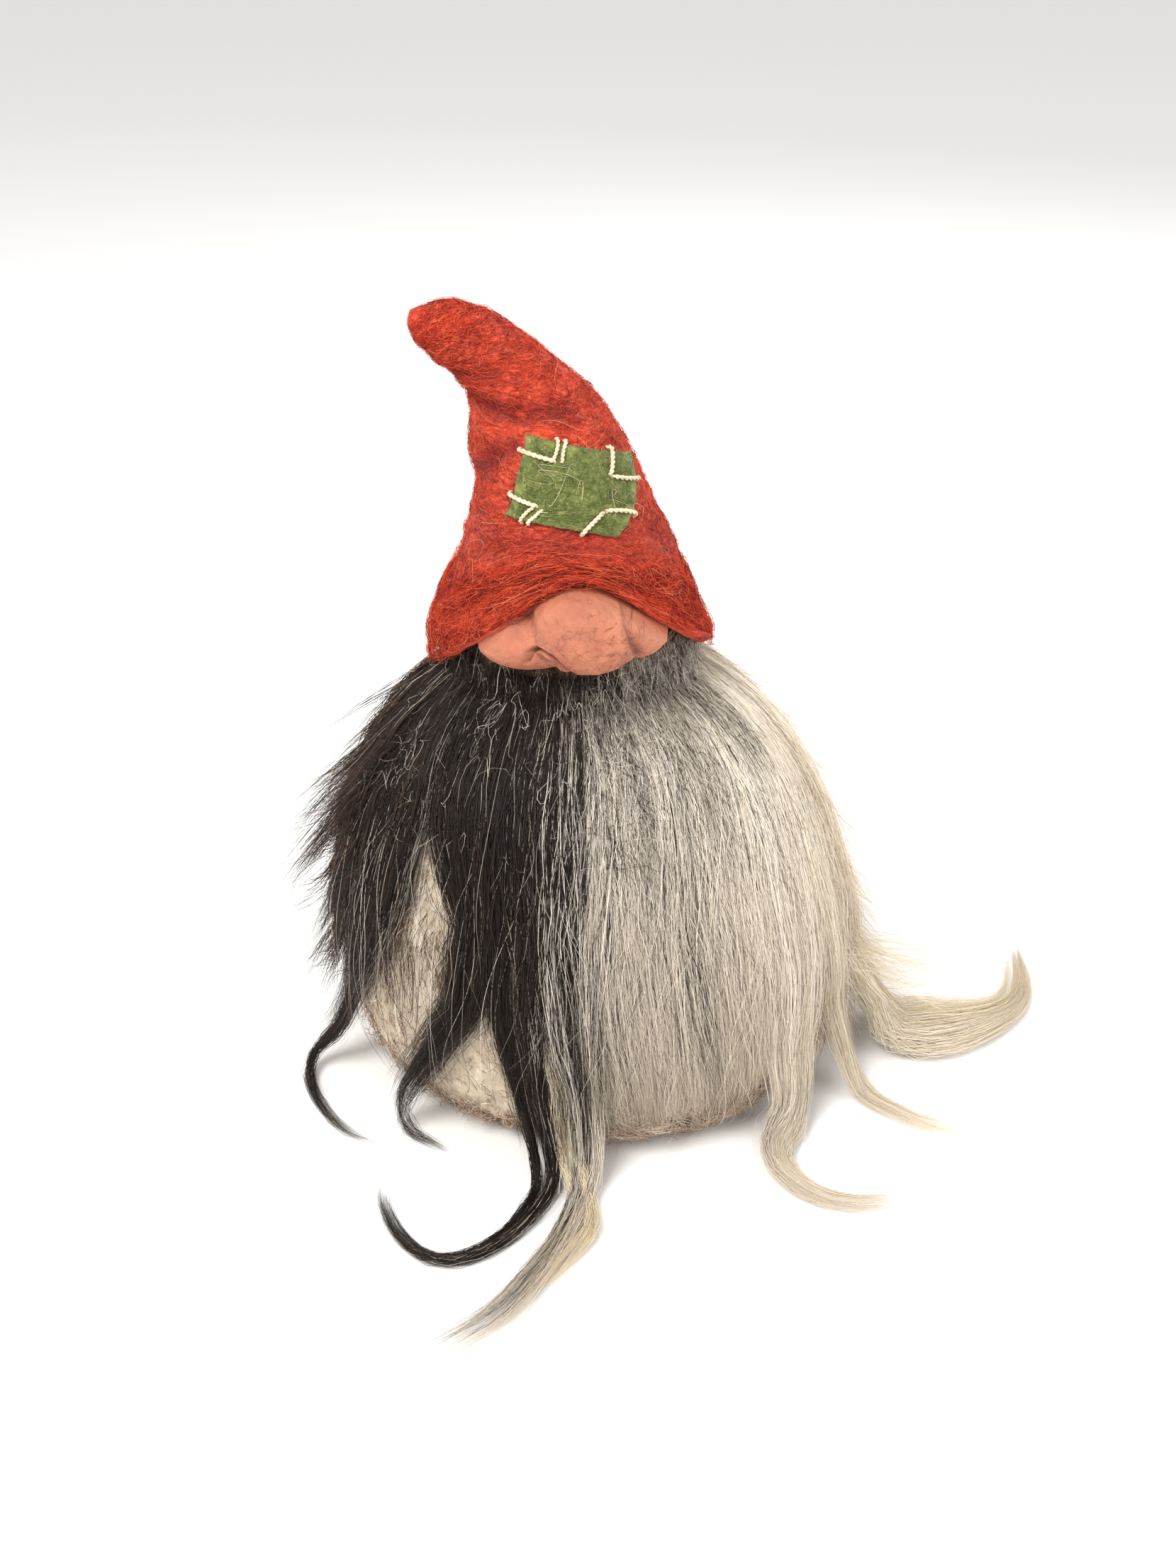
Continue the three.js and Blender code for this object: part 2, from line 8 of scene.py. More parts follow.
import bpy
import numpy as np
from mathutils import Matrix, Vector


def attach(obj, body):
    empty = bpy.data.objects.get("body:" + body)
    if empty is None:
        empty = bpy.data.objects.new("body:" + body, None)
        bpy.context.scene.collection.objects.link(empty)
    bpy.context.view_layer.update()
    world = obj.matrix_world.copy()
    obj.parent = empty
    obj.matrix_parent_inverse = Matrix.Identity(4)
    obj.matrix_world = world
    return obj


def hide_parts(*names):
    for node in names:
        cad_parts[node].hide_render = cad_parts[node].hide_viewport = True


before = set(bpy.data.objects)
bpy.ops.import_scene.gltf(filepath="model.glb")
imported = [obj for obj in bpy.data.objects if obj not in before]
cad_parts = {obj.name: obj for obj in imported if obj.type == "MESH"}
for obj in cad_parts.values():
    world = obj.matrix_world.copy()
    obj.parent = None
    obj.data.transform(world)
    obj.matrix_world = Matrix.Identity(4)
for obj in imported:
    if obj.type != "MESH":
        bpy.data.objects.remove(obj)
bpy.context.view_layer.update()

MM = 0.001
FIGURE = "figure"
HAT = "hat"

# ---- shape of the figure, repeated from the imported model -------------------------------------

BODY_RADIUS = 82
WIDEST_Z = 32
FOOT_RADIUS = 60
SHOULDER_HEIGHT = 120
FLEECE_TOP_Z = 141
FLEECE_BOTTOM_Z = 1.5
FLEECE_THICKNESS = 6
FLEECE_BORE = 33.35
LEAN = 9
NECK_Z = 150
HEAD_FORM = [(33, 137), (32, 150), (30, 165), (23.5, 188), (16, 204), (8, 212), (0, 214)]
COVER_FOOT_Z = 2.4
COVER_THICKNESS = 1.5
HAIR_BAND_Z = 147
HAIR_BAND_THICKNESS = 1.5
NECK_TIE_Z = 152.8
HAT_THICKNESS = 3.5
BRIM_ARCH = 38
BRIM_ARCH_RING = 6
# how unevenly the brim is trimmed: degrees from the front, and height
BRIM_TRIM = np.array([(-180, 0), (-80, 0), (-60, -3), (-42, -5), (-23, -3), (-7, 2), (4, 3.5), (19, 0),
                      (37, -3), (61, -0.6), (80, 0), (180, 0)], float)
BRIM_TRIM_RING = 4
# left edge x z, right edge x z, depth in front and behind
HAT_RINGS = np.array([
    (-52, 142, 34, 147, 45, 44),
    (-53, 151, 33, 153, 45, 44),
    (-51, 160, 30, 161, 44, 42),
    (-47, 169, 27, 170, 42, 38.5),
    (-42.5, 179, 23, 180, 39, 34.5),
    (-39.5, 190, 17.5, 191, 36, 30),
    (-38.5, 200, 12.5, 202, 32, 27),
    (-39.5, 210, 7, 213, 28, 24.5),
    (-39, 220, 1, 223, 24, 21.5),
    (-40, 227, -6, 231, 20, 18.5),
    (-43, 232, -15, 238.5, 16.5, 15.5),
    (-47, 236, -24, 245, 13.5, 13),
    (-51, 239.5, -33, 251, 11, 11),
    (-55, 243.5, -43, 254, 8.5, 8.5),
    (-58, 248, -51, 254, 5, 5),
])
LAST_RING = len(HAT_RINGS) - 1
PATCH_CORNERS = {"top_left": (8, -6), "top_right": (6.7, 78),
                 "bottom_left": (5.6, -34), "bottom_right": (4.5, 28)}
PATCH_THICKNESS = 1.3


def fleece_radius(z):
    z = np.asarray(z, float)
    drop = np.clip((WIDEST_Z - z) / WIDEST_Z, 0, 1)
    below = FOOT_RADIUS + (BODY_RADIUS - FOOT_RADIUS) * np.sqrt(1 - drop ** 2)
    rise = np.clip((z - WIDEST_Z) / SHOULDER_HEIGHT, 0, 1)
    above = BODY_RADIUS * np.sqrt(1 - rise ** 2)
    return np.where(z < WIDEST_Z, below, above)


def head_radius(z):
    heights = [point[1] for point in HEAD_FORM]
    radii = [point[0] for point in HEAD_FORM]
    return np.interp(z, heights, radii)


def lean_x(z):
    return -LEAN * np.minimum(z, NECK_Z) / NECK_Z


def around(radius, turn, z, middle_x=0):
    """Points at a radius from a standing axis, turn radians from the front towards +X."""
    coordinates = np.broadcast_arrays(middle_x + radius * np.sin(turn), -radius * np.cos(turn), z)
    return np.stack(coordinates, -1)


def over_fleece(angle, z, lift):
    """Points over the short fleece: degrees from the front towards +X, height, and lift above it."""
    neck = head_radius(z) + HAIR_BAND_THICKNESS + 0.35
    radius = np.maximum(fleece_radius(z), neck) + lift
    return around(radius, np.radians(angle), z, lean_x(z))


def unit(vectors):
    length = np.linalg.norm(vectors, axis=-1, keepdims=True)
    return vectors / np.maximum(length, 1e-9)


def smoothstep(low, high, x):
    t = np.clip((np.asarray(x, float) - low) / (high - low), 0, 1)
    return t * t * (3 - 2 * t)


# ---- smooth random numbers -------------------------------------------------------------------


def waves(points, scale, seed, octaves=3):
    """A smooth random value near -1 to 1 at each point. scale is the size of its lumps."""
    rng = np.random.default_rng(seed)
    points = np.asarray(points, float)
    total = np.zeros(points.shape[:-1])
    for octave in range(octaves):
        for _ in range(4):
            direction = rng.normal(size=points.shape[-1])
            direction *= 2 ** octave * rng.uniform(0.6, 1.2) / (scale * np.linalg.norm(direction))
            phase = rng.uniform(0, 2 * math.pi)
            total += np.sin(2 * math.pi * points @ direction + phase) / (4 * 1.7 ** octave)
    return total


def wander(rng, strands, points, bends):
    """For each strand a smooth random walk along it, starting at 0, near -1 to 1."""
    t = np.linspace(0, 1, points)[None, :]
    value = np.zeros((strands, points))
    for bend in range(1, bends + 1):
        size = rng.normal(size=(strands, 1)) / bend
        phase = rng.uniform(0, 2 * math.pi, (strands, 1))
        value += size * (np.sin(math.pi * bend * t + phase) - np.sin(phase))
    return value * 0.6


# ---- meshes ----------------------------------------------------------------------------------


def add_object(name, mesh, material, body):
    mesh.shade_smooth()
    piece = bpy.data.objects.new(name, mesh)
    bpy.context.scene.collection.objects.link(piece)
    mesh.materials.append(material)
    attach(piece, body)
    return piece


def mesh_from_arrays(name, vertices, faces):
    """vertices in millimetres; faces is a list of integer arrays, each of one corner count."""
    mesh = bpy.data.meshes.new(name)
    loops = np.concatenate([face.ravel() for face in faces])
    totals = np.concatenate([np.full(len(face), face.shape[1]) for face in faces])
    starts = np.concatenate([[0], np.cumsum(totals)[:-1]])
    mesh.vertices.add(len(vertices))
    mesh.vertices.foreach_set("co", (np.asarray(vertices) * MM).astype(np.float32).ravel())
    mesh.loops.add(len(loops))
    mesh.loops.foreach_set("vertex_index", loops.astype(np.int32))
    mesh.polygons.add(len(totals))
    mesh.polygons.foreach_set("loop_start", starts.astype(np.int32))
    mesh.polygons.foreach_set("loop_total", totals.astype(np.int32))
    mesh.update(calc_edges=True)
    return mesh


STRAND_SIDES = 3
SHADES = 24


def strands(name, paths, radius, shade, material, body, slot, rng):
    """Thin tapering fibres as one mesh. paths is (strand, point, xyz); shade 0 to 1 picks a colour.

    The UV layer holds the shade across and the way along the fibre up, which the materials read.
    """
    count, points = paths.shape[:2]
    rings = points - 1
    tangent = unit(np.gradient(paths, axis=1))
    across = unit(np.cross(tangent, unit(rng.normal(size=(count, 1, 3)))))
    upward = np.cross(tangent, across)
    t = np.linspace(0, 1, points)
    thickness = np.broadcast_to(radius, (count, 1)) * (1 - 0.75 * smoothstep(0.5, 1, t))[None, :]
    corners = []
    for side in range(STRAND_SIDES):
        turn = 2 * math.pi * side / STRAND_SIDES
        arm = math.cos(turn) * across + math.sin(turn) * upward
        corners.append((paths + arm * thickness[..., None])[:, :rings])
    body_verts = np.stack(corners, 2).reshape(count, rings * STRAND_SIDES, 3)
    vertices = np.concatenate([body_verts, paths[:, -1:]], 1)
    per_strand = vertices.shape[1]
    base = (np.arange(count) * per_strand)[:, None, None]
    ring = np.arange(rings - 1)[:, None] * STRAND_SIDES
    side = np.arange(STRAND_SIDES)[None, :]
    following = (side + 1) % STRAND_SIDES
    low, high = ring + side, ring + STRAND_SIDES + side
    low_next, high_next = ring + following, ring + STRAND_SIDES + following
    quads = np.stack([low, low_next, high_next, high], -1).reshape(1, -1, 4) + base
    last = (rings - 1) * STRAND_SIDES
    tip = np.full(STRAND_SIDES, rings * STRAND_SIDES)
    fans = np.stack([last + side[0], last + following[0], tip], -1)
    cap = np.array([[2, 1, 0]])
    triangles = np.concatenate([fans, cap])[None] + base
    mesh = mesh_from_arrays(name, vertices.reshape(-1, 3),
                            [quads.reshape(-1, 4), triangles.reshape(-1, 3)])
    band = np.floor(np.clip(shade, 0, 0.9999) * SHADES)
    left = (band + 0.2)[:, None, None] / SHADES
    spread = np.arange(STRAND_SIDES)[None, None, :] * 0.3 / SHADES
    u = np.broadcast_to(left + spread, (count, rings, STRAND_SIDES)).reshape(count, -1)
    v = np.repeat(np.broadcast_to(t[:rings], (count, rings)), STRAND_SIDES, axis=1)
    u = np.concatenate([u, left[:, 0] + 0.3 / SHADES], 1)
    v = np.concatenate([v, np.ones((count, 1))], 1)
    uv = np.stack([u, 0.02 + 0.96 * v], -1).reshape(-1, 2)
    index = np.zeros(len(mesh.loops), np.int32)
    mesh.loops.foreach_get("vertex_index", index)
    layer = mesh.uv_layers.new(name="OFBake")
    layer.data.foreach_set("uv", uv[index].astype(np.float32).ravel())
    return add_object(name, mesh, material, body)


def grid_parts(points):
    """Vertices, quads and end triangles through a (row, column, xyz) grid whose columns run round."""
    rows, columns = points.shape[:2]
    index = np.arange(rows * columns).reshape(rows, columns)
    following = np.roll(index, -1, 1)
    quads = np.stack([index[:-1], following[:-1], following[1:], index[1:]], -1).reshape(-1, 4)
    first = np.full(columns, rows * columns)
    fans = [np.stack([following[0], index[0], first], -1),
            np.stack([index[-1], following[-1], first + 1], -1)]
    vertices = np.vstack([points.reshape(-1, 3), points[0].mean(0), points[-1].mean(0)])
    return vertices, quads, np.concatenate(fans)


def grid_mesh(name, points, capped=True):
    """A mesh through a grid of rings, with its first and last ring filled if capped."""
    vertices, quads, fans = grid_parts(points)
    if capped:
        return mesh_from_arrays(name, vertices, [quads, fans])
    return mesh_from_arrays(name, vertices[:-2], [quads])


def add_closed(name, points, material, body=FIGURE):
    """A closed piece through a grid of rings."""
    return add_object(name, grid_mesh(name, points), material, body)


def store_painted_crease_shade(piece, amounts):
    """Stores the painted shade of each point of a closed piece: darkness that stands for the shade in its
    creases and grooves. The end points get none.
    """
    values = np.append(amounts, [0, 0]).astype(np.float32)
    piece.data.attributes.new("painted_crease_shade", "FLOAT", "POINT").data.foreach_set("value", values)


def joined(name, parts):
    """One mesh from several (vertices, quads, triangles) parts."""
    starts = np.cumsum([0] + [len(part[0]) for part in parts])
    quads = [part[1] + start for part, start in zip(parts, starts)]
    triangles = [part[2] + start for part, start in zip(parts, starts)]
    return mesh_from_arrays(name, np.vstack([part[0] for part in parts]),
                            [np.concatenate(quads), np.concatenate(triangles)])


def tube_points(path, radius, sides):
    """Rings round a path, as a grid for grid_mesh. radius is one number or one a point."""
    tangent = unit(np.gradient(path, axis=0))
    normal = np.zeros_like(path)
    first = np.cross(tangent[0], (0.3, 0.2, 0.9))
    normal[0] = first / np.linalg.norm(first)
    for i in range(1, len(path)):
        carried = normal[i - 1] - tangent[i] * (normal[i - 1] @ tangent[i])
        normal[i] = carried / np.linalg.norm(carried)
    other = np.cross(tangent, normal)
    turn = np.linspace(0, 2 * math.pi, sides, endpoint=False)
    ring = np.cos(turn)[None, :, None] * normal[:, None] + np.sin(turn)[None, :, None] * other[:, None]
    return path[:, None] + ring * np.broadcast_to(radius, (len(path),))[:, None, None]


def catmull_rom(a, b, c, d, t):
    """The curve from b to c, between a and d, at the share t."""
    return 0.5 * (2 * b + (c - a) * t + (2 * a - 5 * b + 4 * c - d) * t ** 2
                  + (3 * b - a - 3 * c + d) * t ** 3)


def spline(points, count):
    """count points evenly spaced along a Catmull-Rom curve through points."""
    points = np.asarray(points, float)
    padded = np.vstack([2 * points[0] - points[1], points, 2 * points[-1] - points[-2]])
    fine = []
    for i in range(len(points) - 1):
        a, b, c, d = padded[i:i + 4]
        t = np.linspace(0, 1, 24, endpoint=False)[:, None]
        fine.append(catmull_rom(a, b, c, d, t))
    fine = np.vstack(fine + [points[-1:]])
    space = fine[:, :3]
    length = np.concatenate([[0], np.cumsum(np.linalg.norm(np.diff(space, axis=0), axis=1))])
    wanted = np.linspace(0, length[-1], count)
    return np.stack([np.interp(wanted, length, fine[:, k]) for k in range(fine.shape[1])], -1)


# ---- materials -------------------------------------------------------------------------------


class Nodes:
    """A material under construction, with short names for the nodes used here."""

    def __init__(self, name, roughness, **constant):
        self.material = bpy.data.materials.new(name)
        self.material.use_nodes = True
        self.tree = self.material.node_tree
        self.shader = self.tree.nodes["Principled BSDF"]
        self.shader.inputs["Roughness"].default_value = roughness
        for socket, value in constant.items():
            self.shader.inputs[socket.replace("_", " ")].default_value = value

    def node(self, kind, **inputs):
        made = self.tree.nodes.new(kind)
        for socket, value in inputs.items():
            target = made.inputs[socket.replace("_", " ")]
            if isinstance(value, bpy.types.NodeSocket):
                self.tree.links.new(value, target)
            else:
                target.default_value = value
        return made

    def link(self, source, socket):
        self.tree.links.new(source, self.shader.inputs[socket])

    def place(self):
        return self.node("ShaderNodeTexCoord").outputs["Object"]

    def noise(self, scale, detail=4.0, stretch=(1, 1, 1), **more):
        spot = self.place()
        if stretch != (1, 1, 1):
            spot = self.node("ShaderNodeMapping", Vector=spot, Scale=stretch).outputs["Vector"]
        made = self.node("ShaderNodeTexNoise", Vector=spot, Scale=scale, Detail=detail, **more)
        return made.outputs["Fac"]

    def ramp(self, factor, stops):
        made = self.node("ShaderNodeValToRGB", Fac=factor)
        band = made.color_ramp
        while len(band.elements) < len(stops):
            band.elements.new(0.5)
        for element, (position, colour) in zip(band.elements, stops):
            element.position = position
            element.color = (*colour, 1) if len(colour) == 3 else colour
        return made.outputs["Color"]

    def mix(self, factor, a, b, blend="MIX"):
        made = self.tree.nodes.new("ShaderNodeMix")
        made.data_type = "RGBA"
        made.blend_type = blend
        for socket, value in ((0, factor), (6, a), (7, b)):
            if isinstance(value, bpy.types.NodeSocket):
                self.tree.links.new(value, made.inputs[socket])
            else:
                made.inputs[socket].default_value = (*value, 1) if isinstance(value, tuple) else value
        return made.outputs[2]

    def painted_crease_shade(self):
        """The painted shade stored on the surface for its creases and grooves."""
        node = self.node("ShaderNodeAttribute")
        node.attribute_name = "painted_crease_shade"
        return node.outputs["Fac"]

    def bump(self, height, strength, distance):
        made = self.node("ShaderNodeBump", Height=height, Strength=strength, Distance=distance)
        if self.shader.inputs["Normal"].is_linked:
            earlier = self.shader.inputs["Normal"].links[0].from_socket
            self.tree.links.new(earlier, made.inputs["Normal"])
        self.link(made.outputs["Normal"], "Normal")


# Colours of the raw wool along the shade scale, from black to pale yellow.
WOOL_COLOURS = [
    (0.00, (0.010, 0.007, 0.006)), (0.10, (0.020, 0.013, 0.010)), (0.20, (0.070, 0.038, 0.025)),
    (0.30, (0.270, 0.165, 0.095)), (0.40, (0.680, 0.500, 0.375)), (0.50, (0.140, 0.122, 0.108)),
    (0.60, (0.460, 0.415, 0.365)), (0.70, (0.740, 0.665, 0.585)), (0.80, (0.900, 0.835, 0.735)),
    (0.90, (0.880, 0.780, 0.600)), (1.00, (0.800, 0.670, 0.430)),
]


def wool_material():
    m = Nodes("raw_wool", 0.45, Specular_IOR_Level=0.3)
    uv = m.node("ShaderNodeUVMap")
    uv.uv_map = "OFBake"
    parts = m.node("ShaderNodeSeparateXYZ", Vector=uv.outputs["UV"])
    colour = m.ramp(parts.outputs["X"], WOOL_COLOURS)
    length = m.ramp(parts.outputs["Y"], [(0, (0.8, 0.78, 0.76)), (0.25, (1, 1, 1)), (0.7, (1, 0.98, 0.95)),
                                            (1, (0.93, 0.87, 0.77))])
    m.link(m.mix(1.0, colour, length, "MULTIPLY"), "Base Color")
    return m.material


def fuzz_material(name, stops, roughness=0.9):
    """Fibres that keep to a few colours of one felt."""
    m = Nodes(name, roughness, Specular_IOR_Level=0.08)
    uv = m.node("ShaderNodeUVMap")
    uv.uv_map = "OFBake"
    parts = m.node("ShaderNodeSeparateXYZ", Vector=uv.outputs["UV"])
    m.link(m.ramp(parts.outputs["X"], stops), "Base Color")
    return m.material


def red_felt_material():
    m = Nodes("red_felt", 0.95, Specular_IOR_Level=0.06, Sheen_Weight=0.05, Sheen_Roughness=0.5)
    large = m.ramp(m.noise(42, 4, Roughness=0.65), [(0.40, (0, 0, 0)), (0.60, (1, 1, 1))])
    wool = m.mix(large, (0.30, 0.032, 0.021), (0.66, 0.070, 0.030))
    patches = m.ramp(m.noise(24, 5, Roughness=0.7), [(0.30, (0.7, 0.7, 0.7)), (0.52, (0, 0, 0))])
    wool = m.mix(patches, wool, (0.17, 0.020, 0.018))
    streak = m.ramp(m.noise(260, 5, (0.35, 0.35, 1.0), Roughness=0.7), [(0.36, (0, 0, 0)), (0.62, (1, 1, 1))])
    wool = m.mix(streak, m.mix(0.55, wool, (0.12, 0.018, 0.018)), wool)
    fine = m.ramp(m.noise(1300, 3, (0.4, 0.4, 1.0), Roughness=0.7), [(0.45, (0, 0, 0)), (0.75, (1, 1, 1))])
    wool = m.mix(fine, wool, (0.75, 0.13, 0.07))
    # painted shade: the felt turns dark maroon where the stored crease shade is
    m.link(m.mix(m.painted_crease_shade(), wool, (0.115, 0.018, 0.020)), "Base Color")
    m.bump(m.noise(420, 5, (0.5, 0.5, 1.0)), 0.9, 0.0009)
    m.bump(m.noise(1800, 3), 0.5, 0.0002)
    return m.material


def green_felt_material():
    m = Nodes("green_felt", 0.95, Specular_IOR_Level=0.1, Sheen_Weight=0.2)
    large = m.noise(210, 5, Roughness=0.75)
    wool = m.ramp(large, [(0.34, (0.045, 0.072, 0.018)), (0.52, (0.140, 0.172, 0.050)),
                          (0.70, (0.27, 0.275, 0.098))])
    fleck = m.ramp(m.noise(900, 3, (1, 1, 0.5), Roughness=0.75), [(0.55, (0, 0, 0)), (0.70, (1, 1, 1))])
    m.link(m.mix(fleck, wool, (0.36, 0.31, 0.13)), "Base Color")
    m.bump(m.noise(1100, 4), 0.8, 0.0004)
    return m.material


def yarn_material():
    m = Nodes("cream_yarn", 0.85, Specular_IOR_Level=0.2, Sheen_Weight=0.2)
    tone = m.noise(700, 4, Roughness=0.7)
    m.link(m.ramp(tone, [(0.3, (0.50, 0.38, 0.24)), (0.55, (0.76, 0.63, 0.44)), (0.8, (0.86, 0.76, 0.6))]),
           "Base Color")
    m.bump(m.noise(2600, 3), 0.6, 0.0002)
    return m.material


def clay_material():
    m = Nodes("salmon_clay", 0.62, Specular_IOR_Level=0.35, Subsurface_Weight=0.08)
    m.shader.inputs["Subsurface Radius"].default_value = (0.003, 0.0015, 0.001)
    tone = m.noise(55, 5, Roughness=0.6)
    clay = m.ramp(tone, [(0.32, (0.36, 0.115, 0.066)), (0.52, (0.48, 0.170, 0.098)),
                         (0.72, (0.58, 0.225, 0.138))])
    cracks = m.node("ShaderNodeTexVoronoi", Vector=m.place(), Scale=420.0)
    cracks.feature = "DISTANCE_TO_EDGE"
    spots = m.ramp(m.noise(170, 3, Roughness=0.6), [(0.56, (0, 0, 0)), (0.66, (1, 1, 1))])
    lines = m.ramp(cracks.outputs["Distance"], [(0.0, (1, 1, 1)), (0.06, (0, 0, 0))])
    clay = m.mix(m.mix(1.0, lines, spots, "MULTIPLY"), clay, (0.24, 0.075, 0.05))
    # painted shade: dark brown in the grooves pressed into the clay
    m.link(m.mix(m.painted_crease_shade(), clay, (0.10, 0.030, 0.020)), "Base Color")
    m.link(m.ramp(m.noise(300, 3), [(0.3, (0.5, 0.5, 0.5)), (0.7, (0.74, 0.74, 0.74))]), "Roughness")
    m.bump(m.noise(330, 5, Roughness=0.6), 0.8, 0.0012)
    m.bump(m.noise(1100, 4, Roughness=0.6), 0.3, 0.0003)
    m.bump(cracks.outputs["Distance"], 0.12, 0.0004)
    return m.material


def plain_material(name, dark, light, scale, stretch=(1, 1, 1), roughness=0.9, depth=0.0004):
    m = Nodes(name, roughness, Specular_IOR_Level=0.2)
    tone = m.noise(scale, 5, stretch, Roughness=0.65)
    m.link(m.ramp(tone, [(0.3, dark), (0.7, light)]), "Base Color")
    m.bump(m.noise(scale * 5, 4, stretch), 0.7, depth)
    return m.material


def woven_material(name, dark, light, thread):
    """Plain-weave cloth. thread is the number of threads a metre, over two pi."""
    m = Nodes(name, 0.95, Specular_IOR_Level=0.15)
    warp = m.node("ShaderNodeTexWave", Vector=m.place(), Scale=thread, Distortion=1.2, Detail=2.0)
    weft = m.node("ShaderNodeTexWave", Vector=m.place(), Scale=thread, Distortion=1.2, Detail=2.0)
    weft.bands_direction = "Z"
    weave = m.mix(1.0, warp.outputs["Color"], weft.outputs["Color"], "MULTIPLY")
    tone = m.ramp(m.noise(90, 4), [(0.3, dark), (0.7, light)])
    m.link(m.mix(0.25, tone, m.mix(1.0, tone, weave, "MULTIPLY")), "Base Color")
    m.bump(weave, 0.5, 0.0003)
    return m.material


# ---- fibres ----------------------------------------------------------------------------------


def keep_clear(paths, lift=0.35):
    """Fibres pushed out of the short fleece and up off the table."""
    z = paths[..., 2]
    middle = lean_x(z)
    dx = paths[..., 0] - middle
    dy = paths[..., 1]
    reach = np.hypot(dx, dy)
    neck = np.where(z > 136, head_radius(z) + 0.5, 0)
    wanted = np.where((z > 0) & (z < 212), np.maximum(fleece_radius(z), neck) + lift, 0)
    grow = np.where(reach < wanted, wanted / np.maximum(reach, 1e-6), 1)
    paths[..., 0] = middle + dx * grow
    paths[..., 1] = dy * grow
    paths[..., 2] = np.maximum(z, 0.3)
    return paths


# between a lock's solid and what it lies on
LOCK_GAP = 1.1


def outward_at(angle):
    turn = math.radians(angle)
    return unit(np.array([math.sin(turn), -math.cos(turn), 0.15]))


def stations_of(hand):
    """Rows of centre, outward, width and thickness, close together where a lock is on the body."""
    rows = []
    for here, following in zip(hand, hand[1:] + hand[-1:]):
        kind, values = here[0], np.array(here[1:], float)
        if kind == "body":
            steps = 4 if following[0] == "body" and following is not here else 1
            for step in range(steps):
                part = (np.array(following[1:]) - values) * step / steps if steps > 1 else 0
                angle, z, width, thick = values + part
                centre = over_fleece(angle, z, LOCK_GAP + thick / 2)
                rows.append([*centre, *outward_at(angle), width, thick])
        elif kind == "hang":
            x, y, z, width, thick = values
            rows.append([x, y, z, *outward_at(math.degrees(math.atan2(x, -y))), width, thick])
        else:
            x, y, width, thick = values
            rows.append([x, y, LOCK_GAP + thick / 2, 0, 0, 1, width, thick])
    return np.array(rows)


def pick_shades(rng, count, mixture):
    """mixture holds (share, shade, spread) rows."""
    shares = np.array([row[0] for row in mixture], float)
    chosen = rng.choice(len(mixture), count, p=shares / shares.sum())
    table = np.array(mixture)
    return np.clip(table[chosen, 1] + rng.normal(size=count) * table[chosen, 2], 0.01, 0.99)


STREAKINESS = 0.42


def shades_across(rng, place, clump, left, right):
    """A shade for each fibre: from the left mixture at place 0 to the right one at place 1.

    STREAKINESS is the share of a clump's fibres that take its own shade, so that colours run down
    in streaks.
    """
    count, clumps = len(place), clump.max() + 1
    shift = rng.normal(0, 0.16, clumps)
    towards_right = rng.uniform(size=count) < place + shift[clump]
    own = np.where(towards_right, pick_shades(rng, count, right), pick_shades(rng, count, left))
    middle = np.array([place[clump == k].mean() if (clump == k).any() else 0.5 for k in range(clumps)])
    shared = np.where(rng.uniform(size=clumps) < middle, pick_shades(rng, clumps, right),
                      pick_shades(rng, clumps, left))
    blend = np.clip(shared[clump] + rng.normal(0, 0.015, count), 0.01, 0.99)
    return np.where(rng.uniform(size=count) < STREAKINESS, blend, own)


